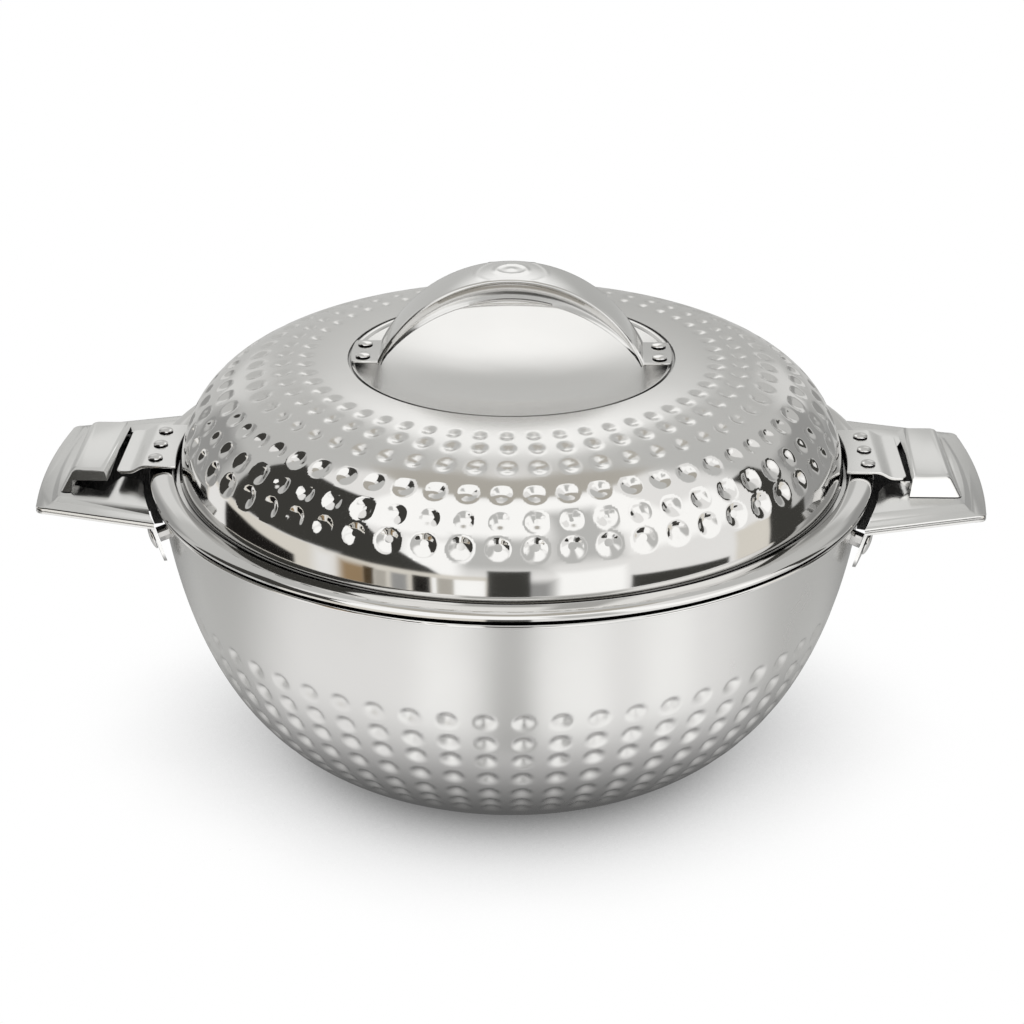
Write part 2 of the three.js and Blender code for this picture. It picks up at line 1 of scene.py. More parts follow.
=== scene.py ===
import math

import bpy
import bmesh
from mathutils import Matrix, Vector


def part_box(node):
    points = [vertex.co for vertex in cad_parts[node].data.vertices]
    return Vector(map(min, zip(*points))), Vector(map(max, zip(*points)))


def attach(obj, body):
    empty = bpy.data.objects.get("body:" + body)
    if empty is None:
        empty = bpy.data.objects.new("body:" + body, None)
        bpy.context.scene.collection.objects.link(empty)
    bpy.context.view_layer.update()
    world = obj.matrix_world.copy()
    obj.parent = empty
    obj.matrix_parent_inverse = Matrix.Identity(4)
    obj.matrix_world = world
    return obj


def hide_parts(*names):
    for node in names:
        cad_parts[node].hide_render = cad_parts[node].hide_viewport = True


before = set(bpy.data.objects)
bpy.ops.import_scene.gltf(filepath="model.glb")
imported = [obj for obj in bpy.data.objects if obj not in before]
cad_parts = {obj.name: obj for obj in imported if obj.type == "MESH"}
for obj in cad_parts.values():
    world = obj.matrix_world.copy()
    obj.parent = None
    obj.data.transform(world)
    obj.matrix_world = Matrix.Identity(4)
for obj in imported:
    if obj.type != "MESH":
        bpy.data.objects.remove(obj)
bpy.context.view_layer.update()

# %% [markdown]
# # An insulated chapati casserole
# A casserole of this kind is two steel bowls with foam between them, and a lid made the same
# way. Its charm is in the sheet metal: rows of round dents in the shell and the dome, a polished
# brim, and flat pressed handles. The CAD frame already holds every piece at its real size. Here
# each visible piece is made again with finer steps, so that polished steel has something smooth
# to reflect, and the hidden pieces keep their CAD solids.

MM = 0.001

# %% [markdown]
# ## Sizes that come from the frame
# A few numbers tie this file to the CAD model: how far the rim, the dome and the handles reach,
# and how high the pieces stand. They are read from the boxes of the CAD nodes, in millimetres, so
# the two models can't drift apart.

# %% Sizes from the frame
def node_reach(node, axis, side):
    """The lowest (side 0) or highest (side 1) coordinate of a CAD node, in millimetres."""
    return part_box(node)[side][axis] / MM


rim_radius = node_reach("lid_brim_ring", 0, 1)
shell_radius = node_reach("outer_bowl_shell", 0, 1)
shell_top = node_reach("outer_bowl_shell", 2, 1)
flange_top = node_reach("inner_bowl", 2, 1)
bead_radius = node_reach("bowl_rim_bead", 0, 1)
bead_low = node_reach("bowl_rim_bead", 2, 0)
brim_low = node_reach("lid_brim_ring", 2, 0)
brim_top = node_reach("lid_brim_ring", 2, 1)
dome_foot_radius = node_reach("lid_dome", 0, 1)
dome_foot = node_reach("lid_dome", 2, 0)
dome_top = node_reach("lid_dome", 2, 1)
tab_reach = node_reach("lid_tab_right", 0, 1)
tab_half = node_reach("lid_tab_right", 1, 1)
tab_top = node_reach("lid_tab_right", 2, 1)
tab_low = node_reach("lid_tab_right", 2, 0)
handle_reach = node_reach("handle_right", 0, 1)
handle_half = node_reach("handle_right", 1, 1)
catch_top = node_reach("catch_right", 2, 1)
strap_top = node_reach("top_handle_strap", 2, 1)
strap_foot = node_reach("top_handle_strap", 2, 0)
ear_reach = node_reach("top_handle_strap", 0, 1)
strap_half = node_reach("top_handle_strap", 1, 1)
sheet = 1.0
print("rim radius", round(rim_radius, 1), "dome top", round(dome_top, 1), "handles reach", round(handle_reach, 1))

# %% [markdown]
# ## Where the camera stands
# The photograph looks down at the casserole from the front. The ellipse of the rim gives the
# angle: it is as tall as the sine of the camera's elevation times its width. A long lens keeps
# the near and far sides of the rim almost the same size, as they are in the photograph.

# %% Camera
PHOTO_SIDE = 1024
LENS_PIXELS = 2400
SENSOR_WIDTH = 36
CAMERA_ELEVATION = math.radians(24.51)
CAMERA_TURN = math.radians(1.2)
CAMERA_DISTANCE = 913.5
AIM_HEIGHT = 90
AXIS_PIXEL = (511.5, 509.63)

camera_data = bpy.data.cameras.new("camera")
camera_data.lens = LENS_PIXELS / PHOTO_SIDE * SENSOR_WIDTH
camera_data.sensor_width = SENSOR_WIDTH
camera_data.shift_x = (PHOTO_SIDE / 2 - AXIS_PIXEL[0]) / PHOTO_SIDE
camera_data.shift_y = (AXIS_PIXEL[1] - PHOTO_SIDE / 2) / PHOTO_SIDE
camera = bpy.data.objects.new("camera", camera_data)
bpy.context.collection.objects.link(camera)
ground_distance = CAMERA_DISTANCE * math.cos(CAMERA_ELEVATION)
camera.location = Vector((
    ground_distance * math.sin(CAMERA_TURN),
    -ground_distance * math.cos(CAMERA_TURN),
    AIM_HEIGHT + CAMERA_DISTANCE * math.sin(CAMERA_ELEVATION),
)) * MM
camera.rotation_euler = (math.pi / 2 - CAMERA_ELEVATION, 0, CAMERA_TURN)
bpy.context.scene.camera = camera
print("camera at", [round(v, 3) for v in camera.location])

# %% [markdown]
# ## Helpers for turned pieces
# Most of the pieces are round, as spun and pressed steel is. A section is drawn as a few points,
# its corners are rounded, and the spin operator turns it about the upright axis. Merging the
# seam and recalculating the normals afterwards keeps the metal closed and facing out.

# %% Rounding and spinning
TURNED_STEPS = 240


def rounded(points, radius, steps=3):
    """The same section with each corner between two straight runs replaced by a small curve."""
    result = [points[0]]
    for before, corner, after in zip(points, points[1:], points[2:]):
        here = Vector(corner)
        start = here + (Vector(before) - here).normalized() * min(radius, (Vector(before) - here).length / 2)
        end = here + (Vector(after) - here).normalized() * min(radius, (Vector(after) - here).length / 2)
        for step in range(steps + 1):
            share = step / steps
            result.append(tuple(start.lerp(here, share).lerp(here.lerp(end, share), share)))
    result.append(points[-1])
    return result


def spin_section(bm, section, steps, closed=False):
    """Turns a section of (radius, height) points about the upright axis, inside the given bmesh."""
    corners = [bm.verts.new((radius * MM, 0, height * MM)) for radius, height in section]
    pairs = list(zip(corners, corners[1:])) + ([(corners[-1], corners[0])] if closed else [])
    runs = [bm.edges.new(pair) for pair in pairs]
    bmesh.ops.spin(
        bm, geom=corners + runs, cent=(0, 0, 0), axis=(0, 0, 1),
        angle=math.tau, steps=steps, use_merge=True, use_duplicate=False,
    )


def close_up(bm):
    """Merges doubled vertices and turns every face outwards."""
    bmesh.ops.remove_doubles(bm, verts=bm.verts, dist=MM / 1000)
    bmesh.ops.recalc_face_normals(bm, faces=bm.faces)


# %% [markdown]
# A finished piece sits at the origin, with its place in its mesh. It rides on one body of the CAD
# frame, names its material slot and says which CAD nodes it replaces. Edges that are sharper than
# its angle stay crisp, and the rest is smooth.

# %% Finished pieces
def placed(bm, name):
    """Makes an object of the bmesh and puts it in the scene."""
    mesh = bpy.data.meshes.new(name)
    bm.to_mesh(mesh)
    bm.free()
    thing = bpy.data.objects.new(name, mesh)
    bpy.context.collection.objects.link(thing)
    return thing


def finish_piece(bm, name, body, material, nodes=(), sharp=35):
    """Makes a piece of the bmesh, smooths its faces and puts it on its CAD body."""
    piece = placed(bm, name)
    piece.data.shade_smooth()
    piece.data.set_sharp_from_angle(angle=math.radians(sharp))
    piece.data.materials.append(material)
    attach(piece, body)
    if nodes:
        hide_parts(*nodes)
    print(name, "has", len(piece.data.polygons), "faces")
    return piece


def turned(name, section, body, material, nodes=(), closed=True):
    """A whole turned piece from one section."""
    bm = bmesh.new()
    spin_section(bm, section, TURNED_STEPS, closed)
    close_up(bm)
    finish_piece(bm, name, body, material, nodes)


def faces_up(bm):
    """Turns an open sheet over if its highest face looks down."""
    if max(bm.faces, key=lambda face: face.calc_center_median().z).normal.z < 0:
        bmesh.ops.reverse_faces(bm, faces=bm.faces)


# %% [markdown]
# ## Helpers for curves
# The sections of the shell, the dome and the brim are smooth curves. They are walked with a stride
# that can change on the way, so that the mesh is fine only where it has to be.

# %% Curves
def mixed(start, end, share):
    """The point at a share of the way between two points."""
    return Vector(start).lerp(Vector(end), share)


def quadratic(start, handle, end, steps):
    """Points of a curve with one handle, without its first point."""
    shares = [step / steps for step in range(1, steps + 1)]
    return [tuple(mixed(mixed(start, handle, t), mixed(handle, end, t), t)) for t in shares]


def bezier(start, start_handle, end_handle, end, steps):
    """Points of a curve with two handles."""
    points = []
    for step in range(steps + 1):
        t = step / steps
        weights = ((1 - t) ** 3, 3 * t * (1 - t) ** 2, 3 * t * t * (1 - t), t ** 3)
        handles = (start, start_handle, end_handle, end)
        points.append(tuple(sum(w * h[i] for w, h in zip(weights, handles)) for i in (0, 1)))
    return points


def paced(points, pace):
    """The same curve, walked with a stride that pace(height) gives."""
    result = [points[0]]
    walked = 0
    for before, here in zip(points, points[1:]):
        walked += math.dist(before, here)
        if walked >= pace(here[1]):
            result.append(here)
            walked = 0
    if math.dist(result[-1], points[-1]) > MM:
        result.append(points[-1])
    return result


def inset_curve(points, distance):
    """A curve moved sideways by a distance, to the left of its direction."""
    result = []
    for i, here in enumerate(points):
        before, after = points[max(i - 1, 0)], points[min(i + 1, len(points) - 1)]
        along = (Vector(after) - Vector(before)).normalized()
        result.append((here[0] - along.y * distance, here[1] + along.x * distance))
    return result


def on_curve(curve, height):
    """The point of a curve at a height."""
    return min(curve, key=lambda point: abs(point[1] - height))


# %% [markdown]
# ## Helpers for node trees
# Every material here is a small network of nodes. Each helper adds a node and hands back its
# output, so a formula reads almost like arithmetic.

# %% Node helpers
def feed(tree, node, values):
    """Feeds a node's inputs by label or number: outputs are linked, and plain values are set."""
    for label, value in values.items():
        if isinstance(value, bpy.types.NodeSocket):
            tree.links.new(value, node.inputs[label])
        else:
            node.inputs[label].default_value = value


def add_node(tree, kind, values, **settings):
    """Adds a node, sets it up, feeds its inputs and hands back its outputs."""
    node = tree.nodes.new(kind)
    for name, value in settings.items():
        setattr(node, name, value)
    feed(tree, node, values)
    return node.outputs


def maths(tree, operation, *values):
    """A maths node. Each value is a number or the output of another node."""
    return add_node(tree, "ShaderNodeMath", dict(enumerate(values)), operation=operation)[0]


def mixed_colour(tree, share, first, second):
    """The first colour where the share is zero, and the second where it is one."""
    return add_node(tree, "ShaderNodeMix", {0: share, 6: first, 7: second}, data_type="RGBA")[2]


def eased(tree, value, start, end, low=0, high=1):
    """Climbs smoothly from low to high while the value goes from start to end."""
    values = {"Value": value, "From Min": start, "From Max": end, "To Min": low, "To Max": high}
    return add_node(tree, "ShaderNodeMapRange", values, interpolation_type="SMOOTHSTEP")["Result"]


def bumped(tree, height, depth):
    """A normal bent by a height between zero and one, times a depth in metres."""
    return add_node(tree, "ShaderNodeBump", {"Distance": depth, "Height": height})["Normal"]


def object_place(tree):
    """The object's own coordinates."""
    return add_node(tree, "ShaderNodeTexCoord", {})["Object"]


def object_axes(tree):
    """X, Y and Z of the object's own coordinates, in metres."""
    return list(add_node(tree, "ShaderNodeSeparateXYZ", {0: object_place(tree)}))


def noise(tree, scale, detail):
    """A noise that is fixed to the object."""
    values = {"Vector": object_place(tree), "Scale": scale, "Detail": detail}
    return add_node(tree, "ShaderNodeTexNoise", values)["Fac"]


# %% [markdown]
# Two more helpers start a material and a node group. A group's sockets have names, so each
# material can give them its own values.

# %% New materials and groups
def new_material(name):
    """A material with nodes, and its tree."""
    material = bpy.data.materials.new(name)
    material.use_nodes = True
    return material, material.node_tree


def new_group(name, inputs, outputs):
    """A node group. Inputs have a name, a kind and a value, outputs a name and a kind."""
    group = bpy.data.node_groups.new(name, "ShaderNodeTree")
    for label, kind, value in inputs:
        group.interface.new_socket(name=label, in_out="INPUT", socket_type=kind).default_value = value
    for label, kind in outputs:
        group.interface.new_socket(name=label, in_out="OUTPUT", socket_type=kind)
    return group


NUMBER, COLOUR = "NodeSocketFloat", "NodeSocketColor"

# %% [markdown]
# ## Steel
# Everything is stainless steel in two finishes. The dome, the brim, the strap and the rivets are
# polished until they mirror the room. The bowl's shell and the handles are satin: fine polishing
# lines spread each reflection. Real sheet also has a faint waviness and smears, so a shared node
# group gives both finishes a little variation in colour, roughness and height.

# %% A shared node group for steel
def steel_group():
    """Colour, roughness and height that wander a little over the metal."""
    group = new_group("steel_sheet", [
        ("Colour", COLOUR, (0.7, 0.7, 0.7, 1)), ("Smear colour", COLOUR, (0.6, 0.6, 0.6, 1)),
        ("Roughness", NUMBER, 0.2), ("Roughness spread", NUMBER, 0.05), ("Smear scale", NUMBER, 30),
        ("Ripple scale", NUMBER, 60), ("Ripple height", NUMBER, 0.1),
    ], [("Base Color", COLOUR), ("Roughness", NUMBER), ("Height", NUMBER)])
    given = add_node(group, "NodeGroupInput", {})
    smear = noise(group, given["Smear scale"], 4)
    ripple = noise(group, given["Ripple scale"], 1)
    wander = maths(group, "SUBTRACT", smear, 0.5)
    add_node(group, "NodeGroupOutput", {
        "Base Color": mixed_colour(group, smear, given["Colour"], given["Smear colour"]),
        "Roughness": maths(group, "MULTIPLY_ADD", wander, given["Roughness spread"], given["Roughness"]),
        "Height": maths(group, "MULTIPLY", ripple, given["Ripple height"]),
    })
    return group


steel_sheet = steel_group()
print("node group", steel_sheet.name)

# %% [markdown]
# Narrow gaps between polished sheets trap the light. An ambient occlusion node with a short reach
# finds them and darkens the steel's base colour there, a painted shade. The lid is polished less
# towards its top, so the dome gets a little rougher with height.

# %% Steel finishes
CREASE_REACH = 4
CREASE_SHUT, CREASE_OPEN = 0.22, 0.62
CREASE_LEFT = 0.03


def crease_shade_mask(tree):
    """One on open metal and near zero in a narrow gap, where shade is painted into the base colour."""
    sky = add_node(tree, "ShaderNodeAmbientOcclusion", {"Distance": CREASE_REACH * MM}, samples=8)["AO"]
    return eased(tree, sky, CREASE_SHUT, CREASE_OPEN, CREASE_LEFT)


def steel(name, colour, smear_colour, roughness, spread, ripple_height, ripple_scale=60):
    """One finish of stainless steel."""
    material, tree = new_material(name)
    look = add_node(tree, "ShaderNodeGroup", {
        "Colour": (*colour, 1), "Smear colour": (*smear_colour, 1), "Roughness": roughness,
        "Roughness spread": spread, "Ripple scale": ripple_scale, "Ripple height": ripple_height,
    }, node_tree=steel_sheet)
    # Painted shade: the base colour is darkened in narrow gaps.
    shaded_in_creases = {0: look["Base Color"], "Scale": crease_shade_mask(tree)}
    feed(tree, tree.nodes["Principled BSDF"], {
        "Metallic": 1,
        "Base Color": add_node(tree, "ShaderNodeVectorMath", shaded_in_creases, operation="SCALE")[0],
        "Roughness": look["Roughness"],
        "Normal": bumped(tree, look["Height"], MM),
    })
    return material


def dull_towards_top(material, low, high, extra):
    """Adds roughness between two heights in millimetres."""
    tree = material.node_tree
    shader = tree.nodes["Principled BSDF"]
    before = shader.inputs["Roughness"].links[0].from_socket
    climb = eased(tree, object_axes(tree)[2], low * MM, high * MM, 0, extra)
    feed(tree, shader, {"Roughness": maths(tree, "ADD", climb, before)})


mirror_steel = steel("mirror_steel", (0.80, 0.79, 0.775), (0.74, 0.735, 0.725), 0.07, 0.05, 0.05)
dome_steel = steel("dome_steel", (0.80, 0.79, 0.775), (0.74, 0.735, 0.725), 0.07, 0.05, 0.05)
dull_towards_top(dome_steel, dome_top - 11, dome_top - 3, 0.17)
satin_steel = steel("satin_steel", (0.72, 0.715, 0.705), (0.67, 0.665, 0.655), 0.26, 0.08, 0.04, 90)
# Painted light and shade: the handles, tabs and catches get a brighter copy of the steel, the strap and ears a darker
# one.
brightened_handle_steel = steel("brightened_handle_steel", (0.90, 0.895, 0.88), (0.84, 0.835, 0.825), 0.18, 0.08, 0.05, 80)
darkened_strap_steel = steel("darkened_strap_steel", (0.76, 0.755, 0.745), (0.70, 0.695, 0.685), 0.14, 0.06, 0.05, 80)
inner_steel = steel("inner_steel", (0.70, 0.70, 0.70), (0.66, 0.66, 0.66), 0.24, 0.10, 0.04, 90)

# %% [markdown]
# ## Dents
# The dents are pressed into the sheet by a round punch, one row after another. Each row has its
# own count, and the punch leaves a soft dish near the top of the lid and a crisp round edge
# further down. A row is kept as its place, its count and the shape of its dents.

# %% Rows of dents
FRONT = -math.pi / 2
DENT_LEAN = 0.7
HARD_POWER = 1.8
ROW_REACH = 1.2


def dent_row(radius, height, count, turn, size, depth, crisp):
    """One row: turn is the angle in degrees from the photograph's view to its first dent."""
    first = FRONT + math.radians(turn) + CAMERA_TURN
    return dict(radius=radius, height=height, count=count, first=first, half=size / 2, depth=depth, crisp=crisp)


def dent_rows(curve, rows):
    """Rows on a curve, each given as its height, count, turn, size, depth and crispness."""
    return [dent_row(*on_curve(curve, height), *rest) for height, *rest in rows]


# %% [markdown]
# A modifier could displace the sheet too, but a formula puts every dent exactly in its place. Each
# vertex near a dent is pushed inwards. A vertex that lies close to a crisp edge is first slid onto
# it, which keeps the edge round. The punch came a little from above, so each dent is deeper in its
# upper half and looks at the sky.

# %% The punch
def frame_of_line(line, i):
    """Unit direction of a section line at one of its points."""
    before, after = line[max(i - 1, 0)], line[min(i + 1, len(line) - 1)]
    length = math.dist(before, after)
    return (after[0] - before[0]) / length, (after[1] - before[1]) / length


def rows_near(rows, point, along):
    """The rows whose dents reach this point of the line, each with the distance along the line."""
    near = []
    for row in rows:
        centre = (row["radius"], row["height"])
        if math.dist(point, centre) < row["half"] * ROW_REACH:
            offset = (point[0] - centre[0]) * along[0] + (point[1] - centre[1]) * along[1]
            near.append((row, offset))
    return near


def dented(point, angle, along, near, stride):
    """Radius, height and angle of one point of the sheet after the punch has pressed it."""
    radius, height = point
    for row, offset in near:
        step = math.tau / row["count"]
        turn = (angle - row["first"] + step / 2) % step - step / 2
        sideways = radius * turn
        distance = math.hypot(sideways, offset)
        if row["crisp"] and abs(distance - row["half"]) < stride / 2:
            stretch = row["half"] / distance - 1
            radius += along[0] * offset * stretch
            height += along[1] * offset * stretch
            angle += turn * stretch
        elif distance < row["half"]:
            share = distance / row["half"]
            soft = (1 - share ** 2) ** 2
            hard = 1 - share ** HARD_POWER
            lean = 1 + DENT_LEAN * offset / row["half"]
            push = row["depth"] * lean * (row["crisp"] * hard + (1 - row["crisp"]) * soft)
            radius -= along[1] * push
            height += along[0] * push
    return radius, height, angle


# %% [markdown]
# The sheet is a fine grid that is bent round the upright axis. Its columns can be counted to suit
# the dents, and only its outside is pressed.

# %% Dented sheet
def dented_sheet(outside, inside, columns, rows, stride):
    """A sheet as one bent grid: its dented outside, then its plain inside, back to the start.

    The outside runs so that its right-hand side faces away from the metal. Without an inside the
    grid stays open, and another piece closes it."""
    bm = bmesh.new()
    line = outside + inside + outside[:1] if inside else outside
    bmesh.ops.create_grid(bm, x_segments=columns, y_segments=len(line) - 1, size=0.5)
    directions = [frame_of_line(outside, i) for i in range(len(outside))]
    near = [rows_near(rows, point, along) for point, along in zip(outside, directions)]
    for v in bm.verts:
        angle = (v.co.x + 0.5) * math.tau
        i = round((v.co.y + 0.5) * (len(line) - 1))
        radius, height = line[i]
        if i < len(outside) and near[i]:
            radius, height, angle = dented(line[i], angle, directions[i], near[i], stride)
        v.co = (radius * math.cos(angle) * MM, radius * math.sin(angle) * MM, height * MM)
    close_up(bm)
    return bm


# %% [markdown]
# ## The bowl's outer shell
# The wall is almost straight under the rim and tucks in towards a small flat base. One cubic
# curve gives that line. Only the dented belt needs a fine mesh, so the curve is walked with short
# strides there and long ones elsewhere. The inside of the sheet is never seen and stays plain. All
# the rows have the same dent, given by its turn, size, depth and share of crispness.

# %% Dented bowl shell
BASE_RADIUS = 60
BASE_HOLE_RADIUS = 50
BOWL_COLUMNS = 60
BOWL_DENT_HEIGHTS = [67.3, 57.3, 48.6, 39.0, 30.0, 23.4, 18.2]
BOWL_DENT = (1.87, 8.2, 1.35, 0.4)
FINE_STRIDE = 0.85
PLAIN_STRIDE = 4.5
SHELL_STEPS = BOWL_COLUMNS * 14
SHELL_CURVE_STEPS = 1200
SHELL_INSIDE_STEPS = 8
INSIDE_DEPTH = sheet * 1.2

shell_swell = shell_radius - BASE_RADIUS
shell_curve = bezier(
    (BASE_RADIUS, 0),
    (BASE_RADIUS + shell_swell * 0.295, 0),
    (shell_radius - shell_swell * 0.12, shell_top * 0.148),
    (shell_radius, shell_top),
    SHELL_CURVE_STEPS,
)

bowl_rows = dent_rows(shell_curve, [(height, BOWL_COLUMNS, *BOWL_DENT) for height in BOWL_DENT_HEIGHTS])
low_dent, high_dent = BOWL_DENT_HEIGHTS[-1] - 7, BOWL_DENT_HEIGHTS[0] + 6
shell_line = paced(shell_curve, lambda z: FINE_STRIDE if low_dent < z < high_dent else PLAIN_STRIDE)
shell_line = [(BASE_HOLE_RADIUS, 0)] + shell_line
sparse_curve = shell_curve[::SHELL_CURVE_STEPS // SHELL_INSIDE_STEPS]
inner_line = [(BASE_HOLE_RADIUS, sheet)] + inset_curve(sparse_curve, INSIDE_DEPTH)
bm = dented_sheet(shell_line, inner_line[::-1], SHELL_STEPS, bowl_rows, FINE_STRIDE)
finish_piece(bm, "dented_bowl_shell", "casserole", satin_steel, ["outer_bowl_shell"], 60)

# %% [markdown]
# ## The rim
# Where the shell meets the inner bowl, the sheets are rolled over one another. From the front the
# roll shows as a thin bright bead, a dark line and the edge of the inner bowl's flange. The inner
# bowl shows only when the lid is lifted, so its curve is a plain one.

# %% Bead, inner bowl and base plate
bead_inner = shell_radius + 0.3
bead_section = rounded([
    (bead_inner, bead_low + 0.5), (bead_inner, bead_low), (bead_radius, bead_low),
    (bead_radius, shell_top), (bead_inner, shell_top), (bead_inner, bead_low + 0.5),
], 0.8, 5)
turned("rolled_bead", bead_section[:-1], "casserole", mirror_steel, ["bowl_rim_bead"])

MOUTH_RADIUS = rim_radius - 16.2
FLANGE_RADIUS = rim_radius - 3.4
INNER_FLOOR_RADIUS = 46
INNER_FLOOR = 12
inner_swell = MOUTH_RADIUS - INNER_FLOOR_RADIUS
inner_rise = flange_top - sheet - INNER_FLOOR
inner_curve = bezier(
    (INNER_FLOOR_RADIUS, INNER_FLOOR),
    (INNER_FLOOR_RADIUS + inner_swell * 0.261, INNER_FLOOR),
    (MOUTH_RADIUS - inner_swell * 0.165, INNER_FLOOR + inner_rise * 0.164),
    (MOUTH_RADIUS, flange_top - sheet),
    40,
)
inner_section = [(0, INNER_FLOOR - sheet)] + inset_curve(inner_curve, -sheet)[:-2]
inner_section += rounded([
    (MOUTH_RADIUS + sheet, flange_top - sheet * 4), (MOUTH_RADIUS + sheet, flange_top - sheet),
    (FLANGE_RADIUS, flange_top - sheet), (FLANGE_RADIUS, flange_top), (MOUTH_RADIUS - 0.4, flange_top),
    (MOUTH_RADIUS, flange_top - sheet * 3),
], 0.5)
inner_section += inner_curve[-3::-1] + [(0, INNER_FLOOR)]
turned("inner_bowl_pan", inner_section, "casserole", inner_steel, ["inner_bowl"], closed=False)

# %% [markdown]
# ## The dome of the lid
# The dome rises steeply from the brim and flattens towards a round dish under the handle. The edge
# between dome and dish is a tight roll with a fine dark seam outside it. Each of the three has a
# curve of its own, and the curves meet end to end.

# %% Curves of the dome
RECESS_RADIUS = 58.6
ROLL_RADIUS = 2.2
DISH_DEPTH = 8.8
SEAM_DEPTH = 0.9
SEAM_WIDTH = 1.5
DOME_CURVE_STEPS = 1600
roll_start = RECESS_RADIUS + ROLL_RADIUS
dome_width = dome_foot_radius - roll_start
dome_rise = dome_top - dome_foot
dome_curve = bezier(
    (dome_foot_radius, dome_foot),
    (dome_foot_radius - dome_width * 0.045, dome_foot + dome_rise * 0.62),
    (roll_start + dome_width * 0.71, dome_top),
    (roll_start, dome_top),
    DOME_CURVE_STEPS,
)
dish_top = dome_top - ROLL_RADIUS * 0.6
dish_bottom = dish_top - DISH_DEPTH
seam_floor = dome_top - SEAM_DEPTH
dish_edge = (RECESS_RADIUS - 0.8, dish_top)
roll = [
    (roll_start, dome_top), (roll_start - 0.3, dome_top), (roll_start - 0.45, seam_floor),
    (roll_start - SEAM_WIDTH + 0.15, seam_floor), (roll_start - SEAM_WIDTH, dome_top - 0.05),
]
roll += bezier(roll[-1], (RECESS_RADIUS + 0.2, dome_top), (RECESS_RADIUS - 0.5, dome_top - 0.2), dish_edge, 6)[1:]
dish = bezier(
    dish_edge, (RECESS_RADIUS * 0.7, dish_top - DISH_DEPTH / 2),
    (RECESS_RADIUS * 0.43, dish_bottom), (0, dish_bottom), 28,
)
print("dome", round(dome_rise, 1), "high with a dish", DISH_DEPTH, "deep")

# %% [markdown]
# Six rows of dents run round the dome. Each has a height, a count, the turn of its first dent, a
# size, a depth and a share of crispness. The plain band below them is the best mirror on the whole
# object, and the dish is plain too. The dented sheet needs many columns, so the dish and the hidden
# inside are a second, plainer piece that meets it at the roll.

# %% Dome with its dents and dish
DOME_STEPS = 900
DOME_INSIDE_STEPS = 16
DENTS_START, CRISP_END, DENTS_END = 124, 147.5, 152.75
CRISP_STRIDE = 0.8
SOFT_STRIDE = 1.15
WIDE_STRIDE = 2.2
DOME_DENTS = [
    (152.2, 52, -1.2, 6.6, 0.85, 0),
    (151.0, 54, -0.7, 7.2, 1.1, 0),
    (148.5, 56, -0.8, 7.8, 1.2, 0.2),
    (143.5, 60, -1.8, 7.8, 1.15, 0.8),
    (137.0, 60, -1.84, 8.0, 1.25, 1),
    (129.5, 60, -2.16, 8.9, 1.35, 1),
]


def dome_pace(height):
    """Short strides through the crisp dents, longer ones through the soft dents and the plain band."""
    if not DENTS_START < height < DENTS_END:
        return WIDE_STRIDE
    return CRISP_STRIDE if height < CRISP_END else SOFT_STRIDE


dome_line = paced(dome_curve, dome_pace) + roll[1:]
bm = dented_sheet(dome_line, [], DOME_STEPS, dent_rows(dome_curve, DOME_DENTS), CRISP_STRIDE)
faces_up(bm)
finish_piece(bm, "dented_dome", "lid", dome_steel, ["lid_dome"], 60)

inside_line = inset_curve(dome_curve[::DOME_CURVE_STEPS // DOME_INSIDE_STEPS], INSIDE_DEPTH)
inside_line[0] = (dome_foot_radius - sheet, dome_foot)
inside_line += inset_curve(dish[::4] + dish[-1:], sheet)[1:]
inside_line[-1] = (0, dish_bottom - sheet)
dish_section = dish + inside_line[::-1] + [(dome_foot_radius, dome_foot)]
turned("dome_dish", dish_section, "lid", dome_steel, closed=False)

# %% [markdown]
# ## The brim
# The brim is a wide rounded band with a narrow dark groove between it and the dome. Light runs
# along it in bright and dark lines, so its section is a smooth curve rather than flats.

# %% Brim ring
GROOVE_WIDTH = 1.9
groove_radius = dome_foot_radius + GROOVE_WIDTH
BRIM_INNER = 112.3
brim_crown = bezier(
    (groove_radius, brim_top - 1.4), (groove_radius + 0.2, brim_top + 0.15),
    (rim_radius - 1.0, brim_top - 0.1), (rim_radius, brim_low + 0.9), 14,
)
shelf = brim_low + sheet
brim_section = [(BRIM_INNER, shelf), (groove_radius - 0.3, shelf), (groove_radius, shelf + 0.3)] + brim_crown
brim_section += [
    (rim_radius, brim_low + 0.2), (rim_radius - 0.3, brim_low), (rim_radius - 1, brim_low),
    (groove_radius + sheet, brim_low), (BRIM_INNER, brim_low),
]
turned("rounded_brim", brim_section, "lid", mirror_steel, ["lid_brim_ring"])

# %% [markdown]
# ## Pressed plates
# The tabs, the ears and the handles are cut from flat sheet and pressed. An outline is filled as
# one face and extruded to the sheet's thickness. A plate with a profile, such as a rolled edge, is
# a stack of outlines, joined one to the next point by point.

# %% Plates and stacks
def prism(corners, way):
    """A closed bmesh: the face through the corners, pushed along a way, in millimetres."""
    bm = bmesh.new()
    face = bm.faces.new([bm.verts.new(Vector(corner) * MM) for corner in corners])
    raised = bmesh.ops.extrude_face_region(bm, geom=[face])["geom"]
    lifted = [v for v in raised if isinstance(v, bmesh.types.BMVert)]
    bmesh.ops.translate(bm, verts=lifted, vec=Vector(way) * MM)
    close_up(bm)
    return bm


def plate(outline, low, high):
    """A flat plate from an outline in millimetres, seen from above."""
    return prism([(x, y, low) for x, y in outline], (0, 0, high - low))


